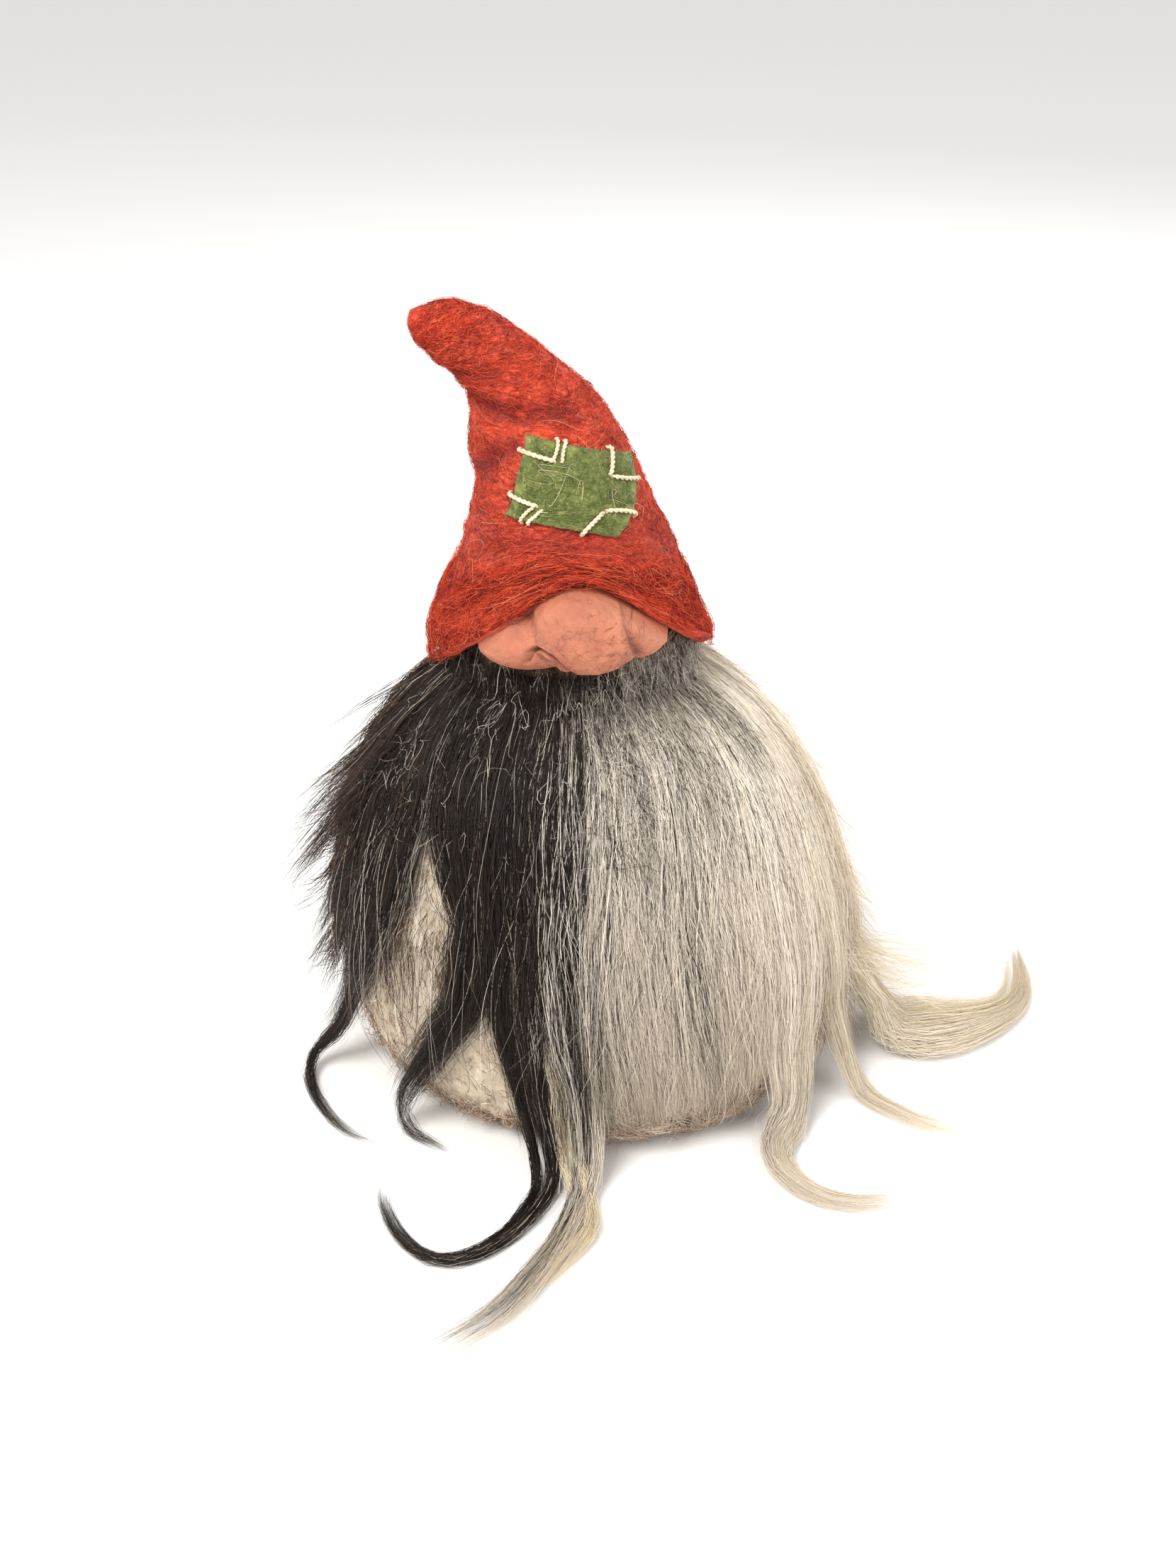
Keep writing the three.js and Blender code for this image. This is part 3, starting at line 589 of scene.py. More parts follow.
def lock_paths(hand, count, points, rng, tail=False, widen=1.2, narrow=0.8, clumps=9, wave=1.8,
               crimp=0.55, fray=4.0, tail_width=0.7):
    """Fibres of one lock: spread evenly at the root, drawn into clumps further down.

    widen and narrow scale the lock's width at the root and at the foot of the body.
    """
    guide = spline(stations_of(hand), 120)
    along = unit(np.gradient(guide[:, :3], axis=0))
    side = unit(np.cross(along, guide[:, 3:6]))
    normal = np.cross(side, along)
    columns = np.hstack([guide[:, :3], side, normal, guide[:, 6:8]])
    east = np.array([-guide[0, 4], guide[0, 3], 0])
    facing = -1 if side[0] @ east > 0 else 1
    where = np.linspace(0, 1, len(guide))
    on_table = hand[-1][0] == "table"
    foot = where[np.argmax(guide[:, 2] < 14)] if on_table else 1.0
    clump = rng.integers(0, clumps, count)
    clump_across = np.linspace(-0.95, 0.95, clumps) + rng.normal(0, 0.08, clumps)
    clump_up = rng.uniform(-0.6, 0.8, clumps)
    across_root = rng.uniform(-1.1, 1.1, (count, 1))
    nearest = np.argmin(np.abs(across_root - clump_across[None, :]), 1)
    clump = np.where(rng.uniform(size=count) < 0.7, nearest, clump)
    start = rng.uniform(0, 0.03, (count, 1))
    if tail:
        reach = rng.uniform(0.9, 1.0, clumps)[clump][:, None]
        long = rng.uniform(size=(count, 1)) < 0.38
        share = reach * np.where(long, rng.uniform(0.75, 1, (count, 1)), rng.uniform(0.05, 0.75, (count, 1)))
        stop = foot + (1 - foot) * share
    else:
        stop = foot * (1.03 - 0.48 * rng.uniform(0, 1, (count, 1)) ** 1.5)
    stop = np.minimum(stop, 1)
    t = np.linspace(0, 1, points)[None, :]
    s = start + (stop - start) * t
    sampled = [np.interp(s, where, columns[:, k]) for k in range(columns.shape[1])]
    centre = np.stack(sampled[0:3], -1)
    side_at = unit(np.stack(sampled[3:6], -1))
    normal_at = unit(np.stack(sampled[6:9], -1))
    width, thick = sampled[9], sampled[10]
    drawn = smoothstep(0.1 * foot, 0.8 * foot, s)
    spread = 0.20 if not tail else 0.16
    across_tip = clump_across[clump][:, None] + rng.normal(0, spread, (count, 1))
    across = across_root * (1 - drawn) + across_tip * drawn
    up_root = rng.uniform(-1, 1, (count, 1))
    up_tip = clump_up[clump][:, None] + rng.normal(0, 0.35, (count, 1))
    up = up_root * (1 - drawn) + up_tip * drawn
    scale = widen + (narrow - widen) * smoothstep(0.25 * foot, 0.9 * foot, s)
    scale = scale + (tail_width - scale) * smoothstep(foot, foot + 0.12, s) if on_table else scale
    shared, shared_up = wander(rng, clumps, 120, 4), wander(rng, clumps, 120, 4)
    at = np.clip((s * 119).astype(int), 0, 119)
    size = np.clip(width / 14, 0.25, 1.0)
    own = rng.uniform(0.7, 2.9, (count, 1)) if not tail else 1.2
    sway = shared[clump[:, None], at] * wave * size + wander(rng, count, points, 7) * own * size
    rise = (shared_up[clump[:, None], at] * wave * 0.5 * size
            + wander(rng, count, points, 6) * own * 0.5 * size)
    ripple = rng.uniform(5, 14, (count, 1))
    crimp = crimp * rng.uniform(0.2, 1.6, (count, 1))
    phase = rng.uniform(0, 2 * math.pi, (count, 1))
    sway = sway + crimp * np.sin(2 * math.pi * ripple * s + phase)
    rise = rise + crimp * 0.6 * np.cos(2 * math.pi * ripple * s * 1.1 + phase)
    if tail:
        parting = smoothstep(foot, 1, s) ** 1.3 * fray
        sway = sway + clump_across[clump][:, None] * parting + rng.normal(0, 0.35, (count, 1)) * parting * 0.4
    else:
        loose = smoothstep(0.55, 1, t) ** 1.5
        sway = sway + rng.normal(0, 2.2, (count, 1)) * loose
        rise = rise + np.abs(rng.normal(0, 1.0, (count, 1))) * loose
    root = smoothstep(0, 0.12, s)
    offset_side = across * width / 2 * scale + sway * root
    offset_up = up * thick / 2 + rise * root
    place = np.clip(0.5 - 0.5 * across_root[:, 0] * facing, 0, 1)
    paths = centre + side_at * offset_side[..., None] + normal_at * offset_up[..., None]
    return keep_clear(paths), place, clump


def wisps(rng, angle, z, clumps, each, points, reach, droop, spread=3.0, twist=0.0, base=2.0):
    """Pointed tufts that leave the wool and hang away from it. Ranges are (low, high)."""
    count = clumps * each
    t = np.linspace(0, 1, points)[None, :]

    def shared(low, high):
        return np.repeat(rng.uniform(low, high, clumps), each)[:, None]

    bend = np.repeat(wander(rng, clumps, points, 3), each, 0)
    bend_up = np.repeat(wander(rng, clumps, points, 3), each, 0)
    own = rng.uniform(0.55, 1.0, (count, 1))
    out = shared(*reach) * own * t ** 1.4
    fall = shared(*droop) * own * t
    gather = 1 - 0.62 * smoothstep(0, 0.8, t)
    a = shared(*angle) + rng.normal(0, spread, (count, 1)) * gather + bend * 4.0 + twist * t
    a = a + wander(rng, count, points, 4) * 1.1
    high = shared(*z) + rng.normal(0, spread * 1.2, (count, 1)) * gather - fall + bend_up * 2.5
    high = high + wander(rng, count, points, 4) * 1.1
    high = np.clip(high, 1.0, 150)
    lift = base + out + np.abs(rng.normal(0, 0.8, (count, 1))) * gather + wander(rng, count, points, 4) * 0.4
    return keep_clear(over_fleece(a, high, np.maximum(lift, 0.4)))


def surface_strays(rng, angle, z, count, points, drift, lift, length, sway):
    """Loose long fibres that wander down over the locks. Ranges are (low, high)."""
    a = rng.uniform(*angle, (count, 1)) + wander(rng, count, points, 4) * sway
    t = np.linspace(0, 1, points)[None, :]
    a = a + rng.uniform(*drift, (count, 1)) * t
    top = rng.uniform(*z, (count, 1))
    heights = top - rng.uniform(*length, (count, 1)) * t + wander(rng, count, points, 3) * 2
    heights = np.maximum(heights, 1.5)
    away = rng.uniform(*lift, (count, 1)) * smoothstep(0, 0.25, t)
    away = away + np.abs(wander(rng, count, points, 3)) * 2.5
    return keep_clear(over_fleece(a, heights, away + 0.5))


def spray(rng, angle, z, count, points, reach, droop, curl=1.5, twist=0.0, base=3.0):
    """Fibres that start in the wool and stand out from it, tips drooping."""
    a = rng.uniform(*angle, (count, 1))
    heights = rng.uniform(*z, (count, 1))
    t = np.linspace(0, 1, points)[None, :]
    out = rng.uniform(*reach, (count, 1)) * t ** 1.2
    fall = rng.uniform(*droop, (count, 1)) * (0.55 * t + 0.45 * t ** 2)
    a = a + twist * t + wander(rng, count, points, 5) * curl * 0.8
    low = np.maximum(heights - fall + wander(rng, count, points, 5) * curl, 0.6)
    return keep_clear(over_fleece(a, low, base + out + wander(rng, count, points, 5) * min(curl, 3) * 0.6))


# ---- short fleece and its fibres -----------------------------------------------------------


def fleece_piece(material):
    turn = np.linspace(0, 2 * math.pi, 180, endpoint=False)[None, :]
    z = np.linspace(FLEECE_BOTTOM_Z, FLEECE_TOP_Z, 90)[:, None]
    flat = around(fleece_radius(z), turn, z)
    relief = 0.9 * waves(flat, 16, 11) + 0.5 * waves(flat, 5, 12)
    outside = around(fleece_radius(z) - 0.6 + relief, turn, z, lean_x(z))
    z = np.linspace(FLEECE_TOP_Z, FLEECE_BOTTOM_Z, 24)[:, None]
    inside = around(np.maximum(FLEECE_BORE, fleece_radius(z) - FLEECE_THICKNESS), turn, z, lean_x(z))
    mesh = grid_mesh("fleece_body", np.concatenate([outside, inside, outside[:1]]), capped=False)
    piece = add_object("fleece_body", mesh, material, FIGURE)
    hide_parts("body_fleece")


def fleece_fuzz(wool):
    rng = np.random.default_rng(41)
    regions = [
        ("fleece_curls_front", (-75, 75), 3300), ("fleece_curls_left", (75, 180), 2300),
        ("fleece_curls_right", (180, 285), 2300),
    ]
    for name, angles, count in regions:
        paths = spray(rng, angles, (4, 138), count, 7, (0.2, 2.6), (1, 7), 2.2, base=0.0)
        shade = pick_shades(rng, count, [(0.55, 0.38, 0.03), (0.3, 0.72, 0.04), (0.15, 0.33, 0.02)])
        strands(name, paths, 0.13, shade, wool, FIGURE, "cream_fleece", rng)
    count = 1700
    paths = spray(rng, (-180, 180), (1, 16), count, 9, (0.5, 5.5), (1, 9), 2.5, base=0.0)
    shade = pick_shades(rng, count, [(0.6, 0.37, 0.02), (0.4, 0.32, 0.02)])
    strands("fleece_hem", paths, 0.13, shade, wool, FIGURE, "cream_fleece", rng)


# ---- wool locks --------------------------------------------------------------------------------

DARK = [(0.76, 0.05, 0.03), (0.22, 0.14, 0.03), (0.02, 0.60, 0.03)]
BROWN = [(0.50, 0.08, 0.03), (0.40, 0.17, 0.03), (0.08, 0.26, 0.02), (0.02, 0.62, 0.03)]
STREAKED = [(0.80, 0.05, 0.03), (0.06, 0.54, 0.03), (0.10, 0.68, 0.04), (0.04, 0.79, 0.03)]
SILVER = [(0.46, 0.06, 0.03), (0.14, 0.54, 0.03), (0.28, 0.69, 0.04), (0.12, 0.79, 0.03)]
GREY = [(0.06, 0.10, 0.04), (0.16, 0.55, 0.03), (0.45, 0.70, 0.03), (0.33, 0.79, 0.03)]
PALE = [(0.03, 0.08, 0.03), (0.06, 0.57, 0.03), (0.45, 0.72, 0.03), (0.46, 0.79, 0.03)]
WHITE = [(0.02, 0.08, 0.02), (0.04, 0.60, 0.03), (0.24, 0.73, 0.03), (0.70, 0.80, 0.02)]
CREAM = [(0.04, 0.68, 0.03), (0.78, 0.80, 0.02), (0.18, 0.86, 0.03)]
YELLOW = [(0.15, 0.81, 0.02), (0.40, 0.88, 0.03), (0.45, 0.95, 0.03)]

# name, material slot, shades, widening at the root, narrowing at the foot, stations
LOCKS = [
    ("left_wisps", "dark_wool", (BROWN, BROWN), 1.3, 0.9, [
        ("body", -84, 149, 11, 1.4), ("body", -84, 136, 12, 2.3), ("body", -82, 112, 18, 5),
        ("body", -79, 84, 24, 5), ("body", -87, 56, 18, 4), ("body", -87, 34, 10, 3)]),
    ("left_curl", "dark_wool", (BROWN, DARK), 1.25, 0.95, [
        ("body", -62, 149, 11, 1.4), ("body", -61, 136, 12, 2.3), ("body", -55, 110, 20, 5),
        ("body", -54, 84, 18, 5), ("body", -59, 58, 13, 4.5), ("body", -68, 34, 8, 4),
        ("hang", -88, -30, 17, 6, 3), ("hang", -97, -30, 7, 5, 3), ("table", -97, -40, 4.5, 2.6),
        ("table", -90, -56, 3.6, 2.2), ("table", -80, -68, 2.6, 1.6), ("table", -67, -74, 1.2, 1)]),
    ("dark_middle", "dark_wool", (DARK, DARK), 1.25, 1.05, [
        ("body", -38, 149, 11, 1.4), ("body", -37, 136, 12, 2.3), ("body", -32, 110, 14, 5),
        ("body", -25, 84, 10, 5), ("body", -27, 58, 10, 5), ("body", -38, 32, 8, 4),
        ("hang", -64, -63, 12, 7, 3), ("table", -62, -66, 5, 2.4), ("table", -55, -71, 3, 1.8),
        ("table", -45, -79, 1.2, 1)]),
    ("dark_curl", "dark_wool", (DARK, STREAKED), 1.3, 0.85, [
        ("body", -16, 149, 9, 1.4), ("body", -16, 136, 10, 2.3), ("body", -16, 110, 14, 6),
        ("body", -14, 84, 15, 6), ("body", -15, 58, 14, 5.5), ("body", -13, 32, 10, 5),
        ("hang", -17, -89, 13, 8, 4), ("table", -16, -95, 7.5, 3.6), ("table", -20, -105, 7, 3.4),
        ("table", -28, -118, 6, 3.2), ("table", -39, -127, 5, 3), ("table", -51, -127, 4, 2.4),
        ("table", -61, -116, 3, 2), ("table", -67, -101, 2.2, 1.4), ("table", -68, -86, 1.2, 1)]),
    ("silver", "silver_wool", (DARK, SILVER), 1.2, 0.9, [
        ("body", 1, 149, 9, 1.4), ("body", 1, 136, 10, 2.3), ("body", -1, 110, 14, 5),
        ("body", -3, 84, 16, 5), ("body", -3, 58, 13, 5), ("body", -2, 32, 9, 4.6),
        ("hang", -4, -90, 13, 8, 4), ("table", -5, -96, 7.5, 3.6), ("table", -8, -108, 6.5, 3.2),
        ("table", -14, -124, 5.5, 3), ("table", -27, -148, 4.2, 2.4), ("table", -41, -161, 2.8, 1.6),
        ("table", -54, -173, 1.2, 1)]),
    ("grey", "silver_wool", (GREY, PALE), 1.3, 1.35, [
        ("body", 18, 149, 10, 1.4), ("body", 17, 136, 11, 2.3), ("body", 14, 110, 15, 5),
        ("body", 12, 84, 19, 5), ("body", 12, 58, 18, 4.5), ("body", 13, 26, 13, 3),
        ("body", 13, 11, 11, 2)]),
    ("white", "white_wool", (GREY, WHITE), 1.25, 1.4, [
        ("body", 40, 149, 11, 1.4), ("body", 39, 136, 13, 2.3), ("body", 34, 110, 19, 5.5),
        ("body", 31, 84, 23, 5.5), ("body", 30, 58, 20, 5), ("body", 31, 24, 14, 3),
        ("body", 31, 11, 11, 2)]),
    ("cream_curl", "cream_wool", (WHITE, CREAM), 1.25, 1.05, [
        ("body", 63, 149, 11, 1.4), ("body", 61, 136, 12, 2.3), ("body", 55, 110, 19, 6),
        ("body", 51, 84, 24, 6), ("body", 49, 58, 20, 6), ("body", 46, 32, 13, 5),
        ("hang", 61, -64, 13, 10, 4), ("table", 58, -70, 9, 3.6), ("table", 56, -80, 8, 3.4),
        ("table", 60, -92, 6.5, 3), ("table", 71, -101, 5, 2.4), ("table", 86, -102, 3.2, 1.8),
        ("table", 102, -97, 1.2, 1)]),
    ("cream_forward", "cream_wool", (CREAM, CREAM), 1.25, 1.0, [
        ("body", 85, 149, 11, 1.4), ("body", 82, 136, 12, 2.3), ("body", 76, 110, 19, 6),
        ("body", 71, 84, 24, 6), ("body", 68, 58, 20, 6), ("body", 66, 32, 12, 5),
        ("hang", 82, -40, 13, 9, 4), ("table", 88, -46, 7.5, 3), ("table", 97, -56, 5.5, 2.6),
        ("table", 109, -64, 3.6, 1.8), ("table", 126, -67, 1.2, 1)]),
    ("cream_wide", "cream_wool", (CREAM, YELLOW), 1.3, 0.95, [
        ("body", 106, 149, 11, 1.4), ("body", 103, 136, 12, 2.3), ("body", 97, 110, 18, 6),
        ("body", 92, 84, 23, 6.5), ("body", 90, 58, 24, 7), ("body", 88, 34, 22, 7),
        ("hang", 94, -6, 15, 22, 7), ("table", 104, -12, 24, 7), ("table", 117, -11, 22, 6.5),
        ("table", 131, -6, 16, 5.5), ("table", 144, 2, 9, 4), ("table", 151, 14, 6, 2.6),
        ("table", 154, 32, 3.4, 1.8), ("table", 156, 54, 1.2, 1)]),
]
BLONDE_STRAND = [
    ("body", -9, 62, 9, 4), ("body", -6, 32, 8, 4), ("hang", -9, -89, 12, 7, 4), ("table", -5, -98, 6, 3),
    ("table", -4, -114, 6, 3), ("table", -9, -124, 5, 2.6), ("table", -16, -134, 4, 2.2),
    ("table", -28, -146, 1.6, 1)]
# name, material slot, shades, angle at the top and at the foot
BACK_LOCKS = [
    ("back_left", "cream_wool", (CREAM, WHITE), 128, 122),
    ("back_cream", "white_wool", (WHITE, PALE), 150, 148),
    ("back_middle", "silver_wool", (PALE, GREY), 172, 173),
    ("back_grey", "silver_wool", (GREY, STREAKED), 194, 197),
    ("back_dark", "dark_wool", (STREAKED, DARK), 216, 222),
    ("back_right", "dark_wool", (DARK, BROWN), 241, 248),
]


def back_stations(top, foot):
    angles = np.linspace(top, foot, 6)
    sizes = [(149, 11, 1.4), (136, 13, 2.3), (110, 21, 5), (84, 27, 5.5), (56, 27, 5), (22, 12, 3)]
    return [("body", angle, *size) for angle, size in zip(angles, sizes)]


# fibres in a lock, where it isn't the usual number
SPARSE = {"left_wisps": 1300, "left_curl": 1000, "dark_middle": 800}
FRONT_FIBRES = 1700
BACK_FIBRES = 850
# a tail's fibres, its fraying at the tip in millimetres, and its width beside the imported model's
TAILS = {
    "left_curl": (220, 0.8, 0.45), "dark_middle": (160, 1.0, 0.5), "dark_curl": (480, 0.7, 0.56),
    "silver": (540, 4.5, 0.66), "cream_curl": (620, 2.2, 0.8), "cream_forward": (360, 4.0, 0.8),
    "cream_wide": (1150, 0.6, 1.25),
}
TAIL_SHADES = {"silver": (SILVER, PALE)}


def wool_locks(wool):
    back = [(name, slot, shades, 1.35, 1.25, back_stations(top, foot))
            for name, slot, shades, top, foot in BACK_LOCKS]
    for i, (name, slot, shades, widen, narrow, hand) in enumerate(LOCKS + back):
        rng = np.random.default_rng(100 + i)
        count = SPARSE.get(name, FRONT_FIBRES if i < len(LOCKS) else BACK_FIBRES)
        paths, place, clump = lock_paths(hand, count, 16, rng, False, widen, narrow, clumps=18)
        radius = rng.uniform(0.07, 0.125, (count, 1))
        shade = shades_across(rng, place, clump, *shades)
        piece = strands("wool_" + name, paths, radius, shade, wool, FIGURE, slot, rng)
        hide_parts("lock_" + name)
        if name in TAILS:
            count, fray, tail_width = TAILS[name]
            paths, place, clump = lock_paths(hand, count, 27, rng, True, widen, narrow, clumps=7,
                                             fray=fray, tail_width=tail_width)
            radius = rng.uniform(0.09, 0.14, (count, 1))
            shade = shades_across(rng, place, clump, *TAIL_SHADES.get(name, shades))
            strands(f"wool_{name}_tail", paths, radius, shade, wool, FIGURE, slot, rng)


def blonde_strand(wool):
    rng = np.random.default_rng(131)
    paths, _, _ = lock_paths(BLONDE_STRAND, 420, 26, rng, True, 1.0, 1.0, clumps=5, fray=2.5, tail_width=0.9)
    strands("wool_blonde_tail", paths, 0.10, pick_shades(rng, 420, YELLOW), wool, FIGURE, "cream_wool", rng)


def loose_wool(wool):
    rng = np.random.default_rng(7)
    tan = [(0.75, 0.385, 0.02), (0.25, 0.8, 0.03)]
    # name, slot, shades, angles, heights, tufts, fibres in each, reach, droop
    tufts = [
        ("wisps_left_high", "dark_wool", BROWN, (-125, -64), (88, 142), 60, 17, (6, 28), (20, 46)),
        ("wisps_left_low", "dark_wool", BROWN, (-125, -70), (34, 92), 56, 15, (4, 26), (14, 42)),
        ("wisps_window", "dark_wool", BROWN, (-66, -24), (60, 110), 11, 18, (0, 4), (20, 46)),
        ("wisps_silver", "silver_wool", SILVER, (-14, 20), (60, 120), 12, 24, (1, 5), (30, 60)),
        ("wisps_grey", "silver_wool", GREY, (4, 46), (40, 120), 22, 24, (1, 5), (24, 56)),
        ("wisps_white", "white_wool", WHITE, (30, 90), (40, 125), 24, 26, (1, 7), (24, 56)),
        ("wisps_cream", "cream_wool", CREAM, (60, 118), (30, 120), 40, 17, (2, 11), (20, 50)),
        ("wisps_cream_foot", "cream_wool", YELLOW, (76, 112), (24, 60), 26, 16, (10, 34), (12, 40)),
        ("wisps_cream_long", "cream_wool", YELLOW, (86, 100), (18, 40), 9, 12, (40, 64), (2, 20)),
        ("wisps_back", "silver_wool", SILVER, (125, 235), (40, 120), 26, 22, (2, 8), (24, 56)),
        ("hem_tufts", "cream_wool", tan, (-20, 75), (6, 26), 26, 22, (1, 7), (5, 18)),
    ]
    for name, slot, shades, angles, heights, clumps, each, reach, droop in tufts:
        paths = wisps(rng, angles, heights, clumps, each, 13, reach, droop)
        shade = pick_shades(rng, clumps * each, shades)
        strands(name, paths, 0.085, shade, wool, FIGURE, slot, rng)
    # name, slot, shades, angles, heights, fibres, reach, droop
    sprays = [
        ("wisps_front_dark", "dark_wool", DARK, (-90, 4), (60, 146), 420, (1, 6), (10, 40)),
        ("halo_right", "cream_wool", tan, (70, 150), (14, 135), 1300, (3, 15), (4, 22)),
        ("frizz_dark", "dark_wool", DARK + [(0.12, 0.72, 0.05)], (-80, 12), (104, 154), 1100,
         (1, 4), (3, 16)),
        ("frizz_grey", "silver_wool", SILVER, (6, 72), (108, 154), 1500, (1, 4), (3, 16)),
        ("wisps_right", "white_wool", WHITE, (20, 110), (30, 146), 500, (1, 7), (10, 44)),
        ("neck_fluff_dark", "dark_wool", DARK, (-120, 24), (146, 157), 1200, (0.5, 5), (3, 16)),
        ("neck_fluff_light", "silver_wool", GREY, (24, 130), (144, 156), 1000, (0.5, 5), (3, 20)),
        ("neck_fluff_back", "silver_wool", SILVER, (130, 240), (140, 149), 500, (0, 3), (2, 20)),
    ]
    for name, slot, shades, angles, heights, count, reach, droop in sprays:
        curl, base = (6.0, 5.2) if name.startswith("frizz") else (2.2, 3.0)
        paths = spray(rng, angles, heights, count, 13, reach, droop, curl, base=base)
        shade = pick_shades(rng, count, shades)
        strands(name, paths, 0.06, shade, wool, FIGURE, slot, rng)
    strays = [
        ("strays_left", "silver_wool", [(0.8, 0.66, 0.04), (0.2, 0.78, 0.04)], (-75, 0), (110, 150), 60,
         (-8, 8), (2, 6), (60, 125), 5),
        ("strays_middle", "silver_wool", [(0.5, 0.7, 0.05), (0.5, 0.06, 0.03)], (-10, 45), (110, 150), 240,
         (-14, 14), (2, 6), (50, 120), 6),
        ("strays_right", "white_wool", [(0.75, 0.8, 0.05), (0.25, 0.5, 0.05)], (20, 110), (90, 150), 280,
         (-14, 14), (2, 7), (50, 120), 9),
        ("strays_window", "dark_wool", [(0.8, 0.14, 0.05), (0.2, 0.7, 0.05)], (-66, -24), (60, 110), 120,
         (-16, 16), (0.5, 3), (30, 80), 8),
        ("strays_back", "silver_wool", SILVER, (110, 280), (90, 150), 260, (-12, 12), (2, 8), (50, 120), 7),
    ]
    for name, slot, shades, angle, z, count, drift, lift, length, sway in strays:
        paths = surface_strays(rng, angle, z, count, 26, drift, lift, length, sway)
        strands(name, paths, 0.05, pick_shades(rng, count, shades), wool, FIGURE, slot, rng)


# ---- hat -----------------------------------------------------------------------------------------


def ring_values(ring):
    """The six ring columns at fractional ring numbers, smoothly."""
    ring = np.clip(ring, 0, LAST_RING)
    low = np.clip(np.floor(ring).astype(int), 0, LAST_RING - 1)
    t = (ring - low)[..., None]
    a = HAT_RINGS[np.maximum(low - 1, 0)]
    b, c = HAT_RINGS[low], HAT_RINGS[low + 1]
    d = HAT_RINGS[np.minimum(low + 2, LAST_RING)]
    return catmull_rom(a, b, c, d, t)


def brim_lift(angle):
    share = np.cos(np.arctan2(np.sin(angle), np.cos(angle)) * 0.9)
    return np.where(share > 0, BRIM_ARCH * share ** 2, 0)


def brim_trim(angle):
    degrees = np.degrees(np.arctan2(np.sin(angle), np.cos(angle)))
    steps = [np.interp(degrees + shift, BRIM_TRIM[:, 0], BRIM_TRIM[:, 1]) for shift in (-8, -4, 0, 4, 8)]
    return sum(steps) / len(steps)


def hat_surface(ring, angle, inset):
    ring, angle, inset = np.broadcast_arrays(ring, angle, inset)
    values = ring_values(ring)
    left_x, left_z, right_x, right_z = (values[..., k] for k in range(4))
    half_width = np.hypot(right_x - left_x, right_z - left_z) / 2
    front = np.cos(angle)
    share = 0.5 + 0.5 * np.clip(front / 0.25, -1, 1)
    depth = values[..., 5] * (1 - share) + values[..., 4] * share
    across = np.sin(angle) * np.maximum(0, 1 - inset / half_width)
    x = (left_x + right_x) / 2 + across * (right_x - left_x) / 2
    z = (left_z + right_z) / 2 + across * (right_z - left_z) / 2
    z = z + brim_lift(angle) * np.maximum(0, 1 - ring / BRIM_ARCH_RING)
    z = z + brim_trim(angle) * np.maximum(0, 1 - ring / BRIM_TRIM_RING)
    return np.stack([x, -front * np.maximum(0, depth - inset), z], -1)


# Folds of the felt: ring and angle at each end, width in rings, height in millimetres.
HAT_FOLDS = [
    (9.1, -75, 8.7, -6, 0.50, -2.3), (8.7, -6, 8.5, 40, 0.40, -1.6), (8.1, -50, 8.0, 35, 0.55, 1.3),
    (6.2, -80, 7.2, -44, 0.40, -2.0), (7.2, -44, 7.7, -20, 0.35, -1.4), (5.5, -70, 6.4, -42, 0.6, 1.2),
    (10.6, -75, 10.4, 0, 0.5, -1.5), (4.3, -55, 4.0, -5, 0.6, -0.9), (3.9, 20, 4.4, 60, 0.6, -0.7),
    (2.6, -50, 1.8, -30, 0.5, -0.8), (1.6, 30, 3.0, 52, 0.45, -0.9),
    (9.2, 120, 8.8, 180, 0.5, -1.6), (8.8, 180, 9.2, 250, 0.5, -1.6), (6.6, 140, 6.2, 215, 0.5, -1.2),
    (3.4, 110, 3.8, 170, 0.6, -1.0), (1.2, 190, 2.6, 235, 0.6, -0.9),
]
DEGREES_PER_RING = 24
TIP_START = 12.8
TIP_CROWN = np.array([-1.5, 0, 0.6])


def fold_amounts(ring, angle):
    """(height in millimetres, painted shade 0 to 1 in the inward folds) of the folds at ring and angle."""
    degrees = np.degrees(np.arctan2(np.sin(angle), np.cos(angle)))
    height = np.zeros(np.broadcast(ring, angle).shape)
    dark = np.zeros_like(height)
    for ring_a, angle_a, ring_b, angle_b, width, amount in HAT_FOLDS:
        turned = np.where((angle_b > 180) & (degrees < 0), degrees + 360, degrees)
        px, py = ring - ring_a, (turned - angle_a) / DEGREES_PER_RING
        dx, dy = ring_b - ring_a, (angle_b - angle_a) / DEGREES_PER_RING
        t = np.clip((px * dx + py * dy) / (dx * dx + dy * dy), 0, 1)
        distance = np.hypot(px - t * dx, py - t * dy)
        bell = np.exp(-(distance / width) ** 2)
        height = height + amount * bell
        # painted shade: inward folds get darker where shade falls in them, the deeper ones more
        if amount < 0:
            dark = np.maximum(dark, bell * min(1.0, -amount / 1.8))
    return height, dark


